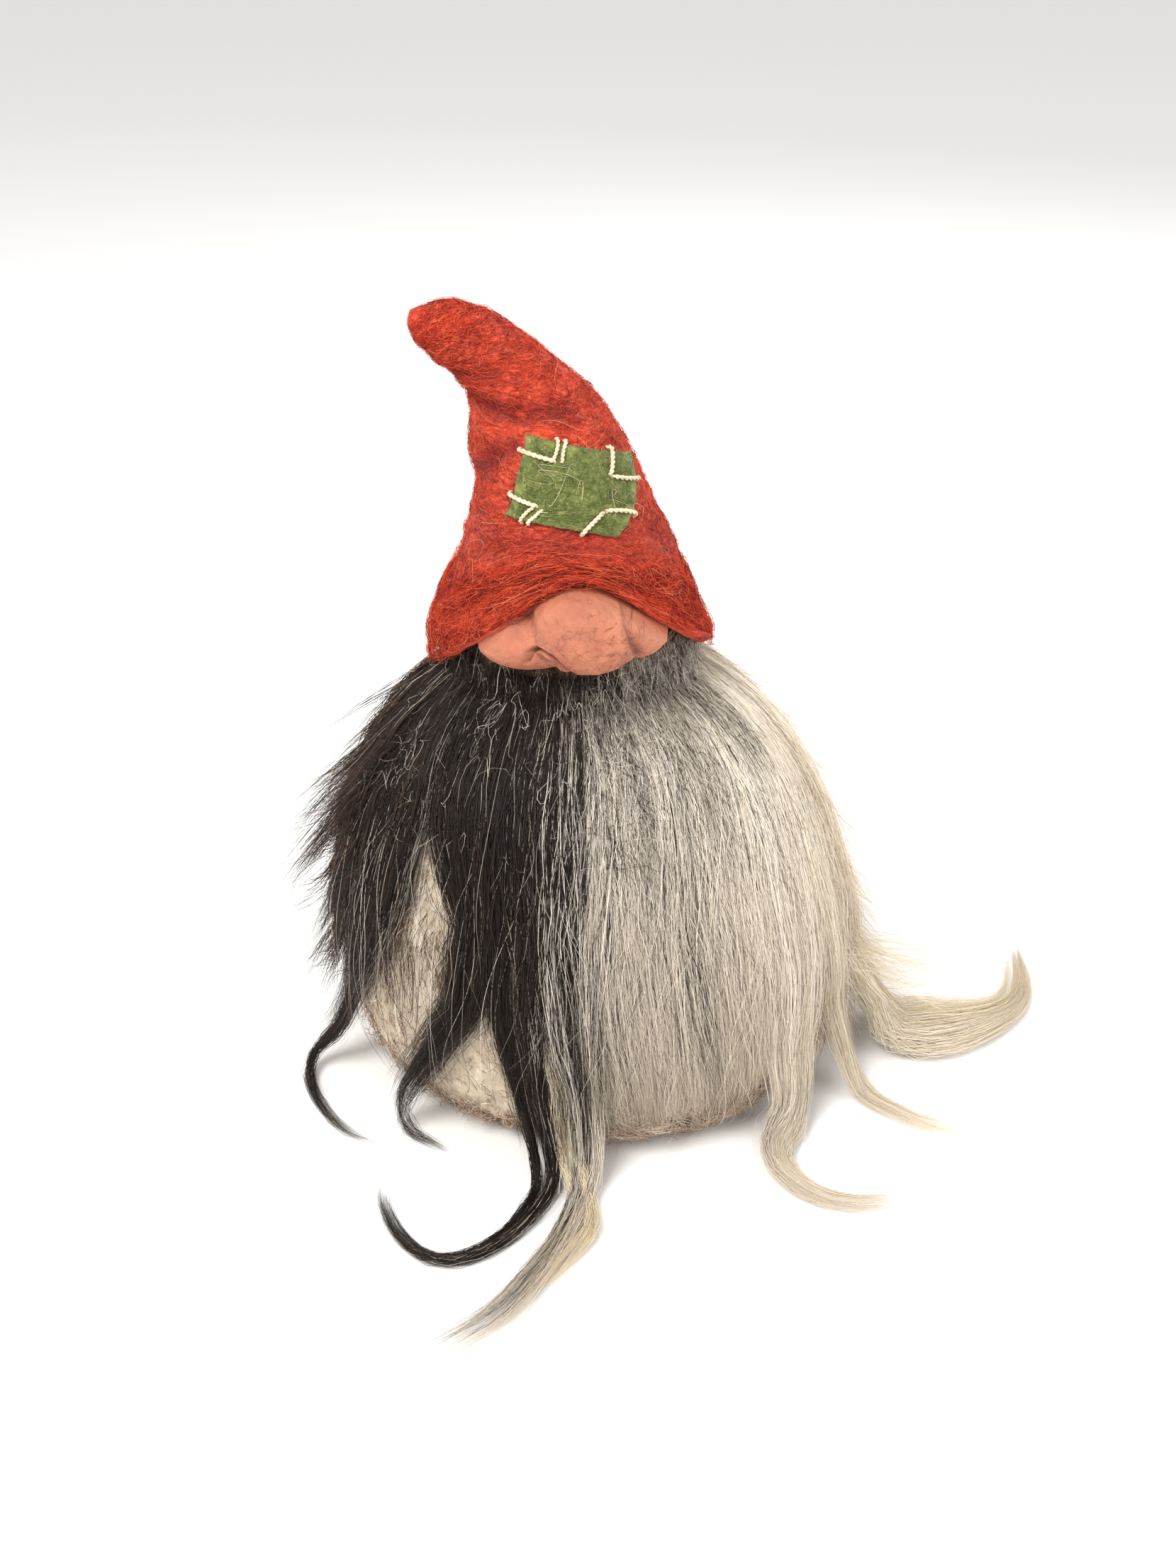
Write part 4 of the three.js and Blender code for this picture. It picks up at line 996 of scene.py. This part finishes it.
def hat_outside(ring, angle, lift=0.0):
    """The felt's outer skin with its folds, and lift above it."""
    here = hat_surface(ring, angle, 0)
    round_it = hat_surface(ring, angle + 0.03, 0) - here
    up_it = hat_surface(np.minimum(ring + 0.12, LAST_RING), angle, 0) \
        - hat_surface(np.maximum(ring - 0.12, 0), angle, 0)
    normal = unit(np.cross(round_it, up_it))
    height, _ = fold_amounts(ring, angle)
    relief = height + 0.55 * waves(here, 17, 21) + 0.28 * waves(here, 5, 22)
    relief = relief * smoothstep(LAST_RING, LAST_RING - 1.5, ring)
    relief = np.where(under_patch(ring, angle), np.minimum(relief, 0.15), relief)
    shell = here + normal * np.asarray(relief + lift)[..., None]
    tip = np.clip((ring - TIP_START) / (LAST_RING - TIP_START), 0, 1)
    crown = hat_surface(LAST_RING, np.array([0.0, math.pi]), 0).mean(0) + TIP_CROWN
    shrink = np.sqrt(np.maximum(1 - tip ** 2, 0.0004)) * np.ones(here.shape[:-1])
    middle = 0.5 * (hat_surface(ring, math.pi / 2, 0) + hat_surface(ring, -math.pi / 2, 0))
    middle = middle + (crown - middle) * (tip * np.ones_like(shrink))[..., None] ** 2
    rounded = middle + (shell - middle) * shrink[..., None]
    return np.where((np.asarray(ring) > TIP_START)[..., None], rounded, shell)


def under_patch(ring, angle):
    degrees = np.degrees(np.arctan2(np.sin(angle), np.cos(angle)))
    return (ring > 4.4) & (ring < 8.6) & (degrees > -40) & (degrees < 80)


ROLL = 1.3


def hat_grid(columns, rows):
    """Rings from the top of the outside, down round the rolled brim and up the inside."""
    angle = np.linspace(0, 2 * math.pi, columns, endpoint=False)[None, :]
    outer_ring = np.linspace(LAST_RING, 0.35, rows)[:, None]
    outside = hat_outside(outer_ring, angle, ROLL * smoothstep(1.6, 0.2, outer_ring))
    phi = np.linspace(0, math.pi, 10)[:, None]
    skin_out = hat_surface(0.2, angle, 0)
    skin_in = hat_surface(0.2, angle, HAT_THICKNESS)
    middle = (skin_out + skin_in) / 2
    out = unit(skin_out - skin_in)
    down = unit(hat_surface(0, angle, 1.7) - hat_surface(1, angle, 1.7))
    lumps = 0.45 * waves(middle[0], 11, 31) + 0.25 * waves(middle[0], 4, 32)
    degrees = np.degrees(angle[0])
    flare = 2.2 * np.exp(-((degrees - 68) / 9) ** 2) - 4.2 * np.exp(-((degrees - 279) / 24) ** 2)
    radius = (HAT_THICKNESS / 2 + ROLL + lumps)[None, :]
    reach = radius + flare[None, :] * np.maximum(np.cos(phi), 0)
    roll = middle + out * (np.cos(phi) * reach)[..., None] + down * (np.sin(phi) * radius)[..., None]
    inner_ring = np.linspace(0.5, LAST_RING - 3, rows // 3)[:, None]
    inside = hat_surface(inner_ring, angle, HAT_THICKNESS)
    rings = np.concatenate([outside, roll, inside])
    # painted shade for the creases of the folds; the rolled brim and the inside get none
    fold_shade = np.concatenate([fold_amounts(outer_ring, angle)[1],
                              np.zeros((len(phi) + len(inner_ring), columns))])
    return rings, fold_shade


def hat_piece(felt):
    rings, fold_shade = hat_grid(220, 190)
    piece = add_closed("hat_felt", rings, felt, HAT)
    # the painted shade in the felt's creases, a little weakened
    store_painted_crease_shade(piece, fold_shade * 0.85)
    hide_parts("hat")


def hat_fuzz():
    rng = np.random.default_rng(51)
    bright = [(0.0, (0.10, 0.014, 0.014)), (0.25, (0.24, 0.024, 0.018)), (0.5, (0.62, 0.060, 0.026)),
              (0.8, (0.86, 0.115, 0.050)), (1.0, (0.80, 0.42, 0.24))]
    felt = fuzz_material("red_fuzz", bright)

    def fibres(name, ring, angle, count, points, length, lift, radius, mixture, wild=1.0):
        r0 = rng.uniform(*ring, (count, 1))
        a0 = np.radians(rng.uniform(*angle, (count, 1)))
        girth = ring_values(r0[:, 0])[:, 4:5]
        way = rng.choice([-1, 1], (count, 1)) * rng.uniform(*length, (count, 1)) / girth
        t = np.linspace(0, 1, points)[None, :]
        rr = np.clip(r0 + wander(rng, count, points, 4) * 0.22 * wild, 0.0, LAST_RING - 0.1)
        aa = a0 + way * t + wander(rng, count, points, 4) * 0.06 * wild
        height = rng.uniform(*lift, (count, 1))
        up = 0.1 + height * np.abs(np.sin(math.pi * t * rng.uniform(0.5, 1.5, (count, 1))))
        edge = ROLL * smoothstep(1.6, 0.2, rr)
        paths = hat_outside(rr, aa, up + edge)
        hang = rng.uniform(0, 3.4, (count, 1)) * smoothstep(0.9, 0.0, rr)
        paths[..., 2] -= hang
        strands(name, paths, radius, pick_shades(rng, count, mixture), felt, HAT, "red_felt", rng)

    usual = [(0.38, 0.14, 0.06), (0.37, 0.48, 0.08), (0.25, 0.78, 0.05)]
    fibres("hat_fuzz_front", (0.2, 13.6), (-110, 110), 4200, 9, (3, 11), (0.1, 0.7), 0.05, usual)
    fibres("hat_fuzz_back", (0.2, 13.6), (110, 250), 2000, 9, (3, 11), (0.1, 0.7), 0.05, usual)
    fibres("hat_fuzz_brim", (0.0, 3.2), (-180, 180), 3400, 10, (3, 12), (0.3, 1.7), 0.055,
           [(0.28, 0.14, 0.05), (0.37, 0.52, 0.07), (0.35, 0.8, 0.05)], 2.6)
    fibres("hat_fuzz_loops", (0.4, 13.6), (-180, 180), 1200, 12, (4, 10), (0.4, 1.3), 0.04,
           [(0.8, 0.5, 0.1), (0.2, 0.78, 0.04)], 2.0)
    fibres("hat_strays", (2.0, 11), (-80, 80), 11, 24, (16, 40), (0.5, 1.6), 0.045, [(1, 0.95, 0.03)], 3.5)


# ---- patch and stitches ------------------------------------------------------------------------


def over_patch(u, v, lift):
    """A point over the patch: u from its left edge, v from its bottom edge, both 0 to 1."""
    corner = {name: np.array(values, float) for name, values in PATCH_CORNERS.items()}

    def blended(k):
        low = corner["bottom_left"][k] * (1 - u) + corner["bottom_right"][k] * u
        high = corner["top_left"][k] * (1 - u) + corner["top_right"][k] * u
        return low * (1 - v) + high * v

    ring, angle = blended(0), np.radians(blended(1))
    here = hat_surface(ring, angle, 0)
    round_it = hat_surface(ring, angle + 0.02, 0) - here
    up_it = hat_surface(ring + 0.1, angle, 0) - here
    normal = unit(np.cross(round_it, up_it))
    return here + normal * np.asarray(lift)[..., None]


def patch_piece(felt):
    columns, rows = 72, 64
    u, v = np.meshgrid(np.linspace(0, 1, columns), np.linspace(0, 1, rows))
    lay = np.stack([u * 30, v * 26, 0 * u], -1)
    edge = np.minimum(np.minimum(u, 1 - u), np.minimum(v, 1 - v))
    ragged_u = u + 0.006 * waves(lay, 3, 61) * smoothstep(0.15, 0, np.minimum(u, 1 - u))
    ragged_v = v + 0.006 * waves(lay, 3, 62) * smoothstep(0.15, 0, np.minimum(v, 1 - v))
    curl = 0.5 * smoothstep(0.14, 0, edge) * (0.5 + 0.5 * waves(lay, 18, 63))
    relief = 0.10 * waves(lay, 1.6, 64) + curl
    thickness = PATCH_THICKNESS * (0.75 + 0.25 * smoothstep(0, 0.03, edge))
    top = over_patch(ragged_u, ragged_v, 0.35 + thickness + relief)
    bottom = over_patch(ragged_u, ragged_v, 0.30 + curl)
    vertices = np.vstack([top.reshape(-1, 3), bottom.reshape(-1, 3)])
    index = np.arange(columns * rows).reshape(rows, columns)
    quads = np.stack([index[:-1, :-1], index[:-1, 1:], index[1:, 1:], index[1:, :-1]], -1).reshape(-1, 4)
    under = quads[:, ::-1] + columns * rows
    rim = np.concatenate([index[0], index[1:, -1], index[-1, -2::-1], index[-2:0:-1, 0]])
    following = np.roll(rim, -1)
    sides = np.stack([following, rim, rim + columns * rows, following + columns * rows], -1)
    mesh = mesh_from_arrays("felt_patch", vertices, [np.concatenate([quads, under, sides])])
    piece = add_object("felt_patch", mesh, felt, HAT)
    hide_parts("patch")
    return piece


STITCH_OVERHANG = 0.045
# the corner's u v, and the u v of the hole where both its stitches start
STITCH_CORNERS = {"top_left": (0, 1, 0.27, 0.81), "top_right": (1, 1, 0.7, 0.76),
                  "bottom_left": (0, 0, 0.22, 0.32), "bottom_right": (1, 0, 0.74, 0.36)}
DOUBLE_STITCHES = ("top_left_end", "bottom_left_end")


def yarn_plies(path, radius, turns, sides=8):
    """Two plies twisted round a path, each as vertices, quads and triangles."""
    middle = spline(path, 60)
    tangent = unit(np.gradient(middle, axis=0))
    across = unit(tube_points(middle, 1.0, 4)[:, 0] - middle)
    other = np.cross(tangent, across)
    turn = np.linspace(0, turns * 2 * math.pi, len(middle))
    taper = radius * (0.75 + 0.25 * np.sin(np.linspace(0, math.pi, len(middle))) ** 0.3)
    plies = []
    for ply in (0, math.pi):
        offset = np.cos(turn + ply)[:, None] * across + np.sin(turn + ply)[:, None] * other
        plies.append(grid_parts(tube_points(middle + offset * radius * 0.82, taper, sides)))
    return plies


# Where a stitch runs: the way along it, and the height of its middle line over the felt.
STITCH_TOP = PATCH_THICKNESS + 1.15
STITCH_RISE = [(0, 0.4), (0.05, STITCH_TOP - 0.3), (0.3, STITCH_TOP), (0.6, STITCH_TOP),
               (0.84, STITCH_TOP - 0.1), (0.96, STITCH_TOP - 0.6), (1.0, 0.3), (0.98, -0.9)]


def stitch_pieces(yarn, fuzz):
    rng = np.random.default_rng(71)
    for corner, (u, v, *hole) in STITCH_CORNERS.items():
        inner_u = hole[0] + (u - hole[0]) * 0.05
        inner_v = hole[1] + (v - hole[1]) * 0.05
        out_u = -STITCH_OVERHANG if u == 0 else 1 + STITCH_OVERHANG
        out_v = -STITCH_OVERHANG if v == 0 else 1 + STITCH_OVERHANG
        runs = {"side": ((inner_u, hole[1]), (out_u, hole[1]), (0, 1)),
                "end": ((hole[0], inner_v), (hole[0], out_v), (1, 0))}
        for run, (start, end, beside) in runs.items():
            name = f"{corner}_{run}"
            tracks = (-0.035, 0.035) if name in DOUBLE_STITCHES else (0.0,)
            size = 0.40 if len(tracks) == 1 else 0.33
            parts = []
            for track in tracks:
                bow = rng.uniform(-0.02, 0.02, 2)
                t, lift = np.array(STITCH_RISE).T[:, :, None]
                spots = np.array(start) * (1 - t) + np.array(end) * t + np.array(beside) * track
                spots = spots + bow * np.sin(math.pi * t)
                parts += yarn_plies(over_patch(spots[:, 0], spots[:, 1], lift[:, 0]), size, 4.5)
            piece = add_object("yarn_" + name, joined("yarn_" + name, parts), yarn, HAT)
            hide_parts("stitch_" + name)
    patch_fibres(fuzz, rng)


def patch_fibres(fuzz, rng):
    count, points = 1100, 7
    u = rng.uniform(0.01, 0.99, (count, 1)) + wander(rng, count, points, 3) * 0.05
    v = rng.uniform(0.01, 0.99, (count, 1)) + wander(rng, count, points, 3) * 0.05
    u = u + rng.uniform(-0.1, 0.1, (count, 1)) * np.linspace(0, 1, points)
    v = v + rng.uniform(-0.1, 0.1, (count, 1)) * np.linspace(0, 1, points)
    lift = 0.42 + PATCH_THICKNESS + np.abs(wander(rng, count, points, 3)) * 0.35
    paths = over_patch(np.clip(u, -0.02, 1.02), np.clip(v, -0.02, 1.02), lift)
    strands("patch_fuzz", paths, 0.06, pick_shades(rng, count, [(0.6, 0.3, 0.1), (0.4, 0.6, 0.1)]), fuzz,
            HAT, "green_felt", rng)
    count, points = 7, 26
    t = np.linspace(0, 1, points)[None, :]
    u = rng.uniform(0.2, 0.8, (count, 1)) + wander(rng, count, points, 3) * 0.2 \
        + rng.uniform(-0.5, 0.5, (count, 1)) * t
    v = rng.uniform(0.15, 0.8, (count, 1)) + wander(rng, count, points, 3) * 0.2 \
        + rng.uniform(-0.5, 0.5, (count, 1)) * t
    lift = 0.6 + PATCH_THICKNESS + np.abs(wander(rng, count, points, 4)) * 0.8
    paths = over_patch(np.clip(u, -0.1, 1.1), np.clip(v, -0.1, 1.1), lift)
    strands("patch_threads", paths, 0.07, pick_shades(rng, count, [(1, 0.95, 0.02)]), fuzz,
            HAT, "yarn", rng)


# ---- nose ----------------------------------------------------------------------------------------

NOSE_MIDDLE = np.array([-4, -36, 168.0])
# the lines are only in front of this
NOSE_FRONT_Y = -38
NOSE_LUMPS = [
    ((-3.5, -44, 169), (17, 14.5, 14)), ((-21, -37, 162.5), (16, 9.5, 9)),
    ((10.5, -37, 166.5), (10.5, 9, 9)), ((-6, -35, 172), (19, 9, 9)),
]
# Lines pressed into the clay, seen from the front: x z at each end, width and depth.
NOSE_LINES = [
    ((-22.0, 158.5), (-21.0, 162.0), 0.8, 2.2), ((-21.0, 162.0), (-18.2, 164.4), 0.8, 3.4),
    ((-18.2, 164.4), (-14.6, 163.6), 0.8, 3.6), ((-14.6, 163.6), (-11.6, 160.4), 0.9, 3.0),
    ((-11.6, 160.4), (-8.5, 157.5), 1.0, 2.6), ((-18.5, 160.4), (-14.0, 160.0), 2.0, 1.4),
    ((-8.5, 155.8), (2, 156.0), 1.0, 3.0), ((2, 156.0), (12.5, 160.5), 1.0, 3.0),
    ((6.5, 178), (9.6, 169), 1.1, 1.8), ((9.6, 169), (12.0, 161.5), 1.2, 2.2),
    ((-21, 173), (-18, 167), 2.2, 1.0), ((-33, 164), (-24, 167), 1.6, 0.5),
]


def nose_piece(clay):
    rows, columns = 190, 290
    polar = np.linspace(0.015, math.pi - 0.015, rows)[:, None]
    turn = np.linspace(0, 2 * math.pi, columns, endpoint=False)[None, :]
    direction = np.stack([np.sin(polar) * np.sin(turn), -np.sin(polar) * np.cos(turn),
                          np.cos(polar) + 0 * turn], -1)
    power, total = 9, 0
    for centre, radii in NOSE_LUMPS:
        start = (NOSE_MIDDLE - centre) / radii
        ray = direction / radii
        a = (ray ** 2).sum(-1)
        b = (ray * start).sum(-1)
        c = (start ** 2).sum() - 1
        inside = np.maximum(b * b - a * c, 0)
        exit_at = np.maximum((-b + np.sqrt(inside)) / a, 0) * (b * b - a * c > 0)
        total = total + exit_at ** power
    reach = total ** (1 / power)
    points = NOSE_MIDDLE + direction * reach[..., None]
    reach = reach + 0.35 * waves(points, 14, 81) + 0.10 * waves(points, 3.5, 82)
    groove = np.zeros_like(reach)
    for (xa, za), (xb, zb), width, depth in NOSE_LINES:
        px, pz = points[..., 0] - xa, points[..., 2] - za
        dx, dz = xb - xa, zb - za
        t = np.clip((px * dx + pz * dz) / (dx * dx + dz * dz), 0, 1)
        distance = np.hypot(px - t * dx, pz - t * dz)
        groove = np.maximum(groove, depth * np.exp(-(distance / width) ** 2))
    reach = reach - groove * (points[..., 1] < NOSE_FRONT_Y)
    points = under_brim(NOSE_MIDDLE + direction * reach[..., None])
    piece = add_closed("clay_nose", points, clay)
    # painted shade in the grooves, deeper ones darker, on the front of the nose only
    store_painted_crease_shade(piece, np.clip((groove / 3.4) ** 1.5, 0, 1) * (points[..., 1] < NOSE_FRONT_Y))
    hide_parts("nose")


def under_brim(points):
    """Points pressed in where they would stick through the hat."""
    flat = points.reshape(-1, 3)
    rings = np.linspace(0, 8, 60)[:, None]
    values = ring_values(rings[:, 0])
    middle_x = (values[:, 0] + values[:, 2]) / 2
    half_x = (values[:, 2] - values[:, 0]) / 2
    across = np.clip((flat[None, :, 0] - middle_x[:, None]) / half_x[:, None], -0.97, 0.97)
    angle = np.arcsin(across)
    inner = hat_surface(rings, angle, HAT_THICKNESS + ROLL + 0.5)
    nearest = np.argmin(np.abs(inner[..., 2] - flat[None, :, 2]), axis=0)
    limit = inner[nearest, np.arange(len(flat)), 1]
    edge = inner[0, :, 2] - 3.5
    pressed = smoothstep(-1.5, 1.5, flat[:, 2] - edge)
    flat[:, 1] += np.maximum(limit - flat[:, 1], 0) * pressed
    return flat.reshape(points.shape)


def nose_hairs(wool):
    rng = np.random.default_rng(91)
    count, points = 130, 9
    x = rng.uniform(-20, 14, (count, 1)) + rng.uniform(-4, 4, (count, 1)) * np.linspace(0, 1, points)
    z = rng.uniform(158, 176, (count, 1)) + rng.uniform(-3, 3, (count, 1)) * np.linspace(0, 1, points)
    x = x + wander(rng, count, points, 3) * 0.8
    z = z + wander(rng, count, points, 3) * 0.8
    inside = 1 - ((x + 3.5) / 17.5) ** 2 - ((z - 169) / 14.5) ** 2
    y = -44 - 14.5 * np.sqrt(np.maximum(inside, 0.02)) - 0.25
    paths = under_brim(np.stack([x, y, z], -1))
    strands("nose_hairs", paths, 0.035, pick_shades(rng, count, [(1, 0.12, 0.05)]), wool, FIGURE,
            "dark_wool", rng)


# ---- inside the figure ---------------------------------------------------------------------------


def turned_grid(profile, columns, relief, size, seed, leaning=True):
    """A turned surface with smooth lumps: profile is radius height pairs, from one end to the other."""
    profile = np.array(profile, float)
    turn = np.linspace(0, 2 * math.pi, columns, endpoint=False)[None, :]
    r, z = profile[:, :1], profile[:, 1:]
    flat = around(r, turn, z)
    slope = np.gradient(profile, axis=0)
    slope = slope / np.maximum(np.linalg.norm(slope, axis=1, keepdims=True), 1e-9)
    push = -relief * (0.5 + 0.5 * waves(flat, size, seed)) * np.minimum(r / 8, 1)
    radial = r + push * slope[:, 1:]
    high = z - push * slope[:, :1]
    return around(radial, turn, high, lean_x(high) if leaning else 0)


def finely(profile, step=2.0):
    """The profile with points added so that none are further apart than step."""
    made = [profile[0]]
    for a, b in zip(profile[:-1], profile[1:]):
        parts = max(1, int(math.hypot(b[0] - a[0], b[1] - a[1]) / step))
        for i in range(1, parts + 1):
            made.append((a[0] + (b[0] - a[0]) * i / parts, a[1] + (b[1] - a[1]) * i / parts))
    return made


def base_pieces(felt, card):
    edge = [(0.5, 0.02), (59.2, 0.02), (59.9, 0.6), (59.9, 1.4), (59.3, 1.95), (0.5, 1.95)]
    points = turned_grid(finely(edge), 160, 0.25, 9, 141, leaning=False)
    points[..., 2] = np.maximum(points[..., 2], 0.01)
    piece = add_closed("base_felt_disc", points, felt)
    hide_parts("base_felt")
    paint("base_disc", card, 0.5)


def paint(node, material, bevel):
    """Gives a carried-over CAD node its material and softened edges. bevel is in millimetres."""
    piece = bpy.data.objects[node]
    piece.data.materials.clear()
    piece.data.materials.append(material)
    softened = piece.modifiers.new("softened_edges", "BEVEL")
    softened.width = bevel * MM
    softened.segments = 3
    softened.limit_method = "ANGLE"
    softened.angle_limit = math.radians(40)


def weight_bag_piece(cloth):
    bottom, top, radius = 5.8, 31.5, 49.6
    profile = [(0.5, bottom), (40, bottom), (46, bottom + 2.5), (radius, bottom + 9), (radius, top - 9),
               (46, top - 2.5), (38, top), (0.5, top - 1.5)]
    piece = add_closed("weight_bag_cloth", turned_grid(finely(profile), 140, 2.2, 21, 151), cloth)
    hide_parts("weight_bag")
    turn = np.linspace(0, 2 * math.pi, 120)
    path = around(radius - 0.5, turn, 18.5 + 0.4 * np.sin(turn * 5), lean_x(18))
    ridge = add_closed("weight_bag_seam", tube_points(path, 0.7, 8), cloth)
    ridge.parent = piece


def cover_radius(z):
    neck_radius, neck_z = HEAD_FORM[0]
    on_body = np.maximum(neck_radius, fleece_radius(z) - FLEECE_THICKNESS - 0.35)
    return np.where(np.asarray(z) < neck_z, on_body, head_radius(z))


def body_pieces(cloth, wadding):
    def beneath_cover(depth, low, high, count):
        return [(float(cover_radius(z)) - depth, z) for z in np.linspace(low, high, count)]

    profile = [(0.5, 32.3)] + beneath_cover(2.2, 32.5, 204, 70) + [(0.5, 204.2)]
    profile[1] = (float(cover_radius(32.5)) - 4, 32.4)
    points = turned_grid(finely(profile, 3), 120, 1.4, 12, 161)
    piece = add_closed("stuffing_wool", points, wadding)
    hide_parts("body_stuffing")
    outside = beneath_cover(0, COVER_FOOT_Z, 210, 110) + [(5, 212.8), (0.6, 213.6)]
    inside = beneath_cover(COVER_THICKNESS, COVER_FOOT_Z, 203, 60) + [(12, 206.5), (5, 208.6), (0.6, 209)]
    piece = add_closed("cover_cloth", turned_grid(inside[::-1] + outside, 160, 0.35, 13, 171), cloth)
    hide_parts("body_cover")
    z = np.linspace(156, 211, 60)
    path = around(cover_radius(z) + 0.15, math.pi, z, lean_x(z) + 0.25 * np.sin(z))
    add_closed("cover_seam", tube_points(path, 0.45, 8), cloth)


def neck_pieces(hide, yarn):
    turn = np.linspace(0, 2 * math.pi, 200, endpoint=False)
    section = [(0, -3.9), (0.6, -4), (1.4, -3.8), (1.5, -2), (1.55, 0), (1.5, 2), (1.4, 3.8), (0.6, 4),
               (0, 3.9)]
    rows = []
    for out, up in section + section[:1]:
        spots = np.stack([np.sin(turn) * 33, np.cos(turn) * 33, 0 * turn + up], -1)
        z = HAIR_BAND_Z + up + 0.25 * waves(spots, 7, 181)
        rows.append(around(float(head_radius(143)) + 0.4 + out, turn, z, lean_x(z)))
    mesh = grid_mesh("hide_band", np.array(rows), capped=False)
    piece = add_object("hide_band", mesh, hide, FIGURE)
    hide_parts("hair_band")
    turn = np.linspace(0, 2 * math.pi, 70)
    radius = float(head_radius(NECK_TIE_Z)) + 1.6
    path = around(radius, turn + 0.06, NECK_TIE_Z + 0.15 * np.sin(3 * turn), lean_x(NECK_TIE_Z))
    parts = yarn_plies(path, 0.55, 60, 6)
    t = np.linspace(0, 1, 5)
    for reach, fall in ((6, 4.5), (-7, 5)):
        end = [lean_x(NECK_Z) + reach * t, radius + 0.9 + 0.6 * np.sin(math.pi * t),
               NECK_TIE_Z + 0.8 * np.sin(6 * t) - fall * t ** 2]
        parts += yarn_plies(np.stack(end, -1), 0.5, 4, 6)
    piece = add_object("neck_yarn", joined("neck_yarn", parts), yarn, FIGURE)
    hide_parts("neck_tie")


def hat_wadding_piece(wadding):
    angle = np.linspace(0, 2 * math.pi, 110, endpoint=False)[None, :]
    rings = np.linspace(8, LAST_RING - 4, 30)[:, None]
    skin = hat_surface(rings, angle, HAT_THICKNESS + 1.6)
    skin = skin + unit(skin - skin.mean(1, keepdims=True)) * (0.7 * waves(skin, 7, 191))[..., None]
    middle = skin[:1].mean(1, keepdims=True)
    low = middle + (skin[:1] - middle) * 0.6
    piece = add_closed("hat_wadding_wool", np.concatenate([low, skin]), wadding, HAT)
    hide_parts("hat_wadding")


# ---- stage, light and camera -------------------------------------------------------------------

TARGET = (-3.6, 0.0, 93.8)
CAMERA_DISTANCE = 650
CAMERA_ELEVATION = 28
LENS = 30.0
SENSOR_HEIGHT = 24.0


def add_stage():
    paper = Nodes("pale_paper", 0.9, Specular_IOR_Level=0.1)
    paper.shader.inputs["Base Color"].default_value = (0.92, 0.915, 0.905, 1)
    mesh = bpy.data.meshes.new("floor")
    size = 12.0
    corners = [(-size, -size, 0), (size, -size, 0), (size, size, 0), (-size, size, 0)]
    mesh.from_pydata(corners, [], [(0, 1, 2, 3)])
    floor = bpy.data.objects.new("floor", mesh)
    mesh.materials.append(paper.material)
    bpy.context.scene.collection.objects.link(floor)


def add_area(name, place, size, power, warmth=(1, 1, 1)):
    lamp = bpy.data.lights.new(name, "AREA")
    lamp.shape = "DISK"
    lamp.size = size
    lamp.energy = power
    lamp.color = warmth
    light = bpy.data.objects.new(name, lamp)
    light.location = place
    aim = Vector((0, 0, 0.1)) - light.location
    light.rotation_euler = aim.to_track_quat("-Z", "Y").to_euler()
    bpy.context.scene.collection.objects.link(light)


def add_light():
    world = bpy.data.worlds.new("studio")
    world.use_nodes = True
    background = world.node_tree.nodes["Background"]
    background.inputs["Color"].default_value = (1.0, 0.99, 0.975, 1)
    background.inputs["Strength"].default_value = 0.80
    bpy.context.scene.world = world
    add_area("key", (-0.45, -0.75, 1.15), 0.6, 18.0, (1.0, 0.985, 0.96))
    add_area("fill", (0.9, -0.6, 0.7), 0.9, 4.0, (1.0, 0.99, 0.97))
    add_area("back", (0.35, 0.9, 0.9), 0.6, 5.0)


def add_camera():
    data = bpy.data.cameras.new("camera")
    data.sensor_fit = "VERTICAL"
    data.sensor_height = SENSOR_HEIGHT
    data.lens = LENS
    data.clip_end = 50
    camera = bpy.data.objects.new("camera", data)
    rise = math.radians(CAMERA_ELEVATION)
    away = Vector((0, -math.cos(rise), math.sin(rise))) * CAMERA_DISTANCE
    camera.location = (Vector(TARGET) + away) * MM
    camera.rotation_euler = (-away).to_track_quat("-Z", "Y").to_euler()
    bpy.context.scene.collection.objects.link(camera)
    bpy.context.scene.camera = camera


# ---- the whole figure ----------------------------------------------------------------------------

wool = wool_material()
red_felt = red_felt_material()
yarn = yarn_material()
wadding = plain_material("wool_wadding", (0.62, 0.57, 0.47), (0.84, 0.80, 0.70), 210, depth=0.001)
cotton = woven_material("unbleached_cotton", (0.50, 0.43, 0.32), (0.64, 0.56, 0.44), 900)
fleece = plain_material("matted_fleece", (0.52, 0.42, 0.30), (0.80, 0.70, 0.57), 85, depth=0.0012)
tan_felt = plain_material("tan_felt", (0.36, 0.23, 0.14), (0.56, 0.39, 0.26), 300)
card = plain_material("grey_board", (0.33, 0.25, 0.17), (0.47, 0.37, 0.26), 400, (1, 1, 0.2), depth=0.0002)
birch = plain_material("birch", (0.50, 0.33, 0.18), (0.66, 0.47, 0.28), 320, (3, 0.3, 3), 0.6, 0.0002)
hide = plain_material("suede_strip", (0.38, 0.25, 0.15), (0.58, 0.43, 0.30), 500)
patch_fuzz = fuzz_material("patch_fuzz", [
    (0.0, (0.08, 0.11, 0.03)), (0.5, (0.22, 0.26, 0.08)), (0.8, (0.38, 0.34, 0.15)),
    (1.0, (0.74, 0.64, 0.45))])

base_pieces(tan_felt, card)
weight_bag_piece(cotton)
body_pieces(cotton, wadding)
neck_pieces(hide, yarn)
fleece_piece(fleece)
fleece_fuzz(wool)
wool_locks(wool)
blonde_strand(wool)
loose_wool(wool)
nose_piece(clay_material())
nose_hairs(wool)
paint("nose_peg", birch, 0.3)
hat_piece(red_felt)
hat_wadding_piece(wadding)
hat_fuzz()
patch = patch_piece(green_felt_material())
stitch_pieces(yarn, patch_fuzz)
add_stage()
add_light()
add_camera()
bpy.context.scene.view_settings.view_transform = "Standard"
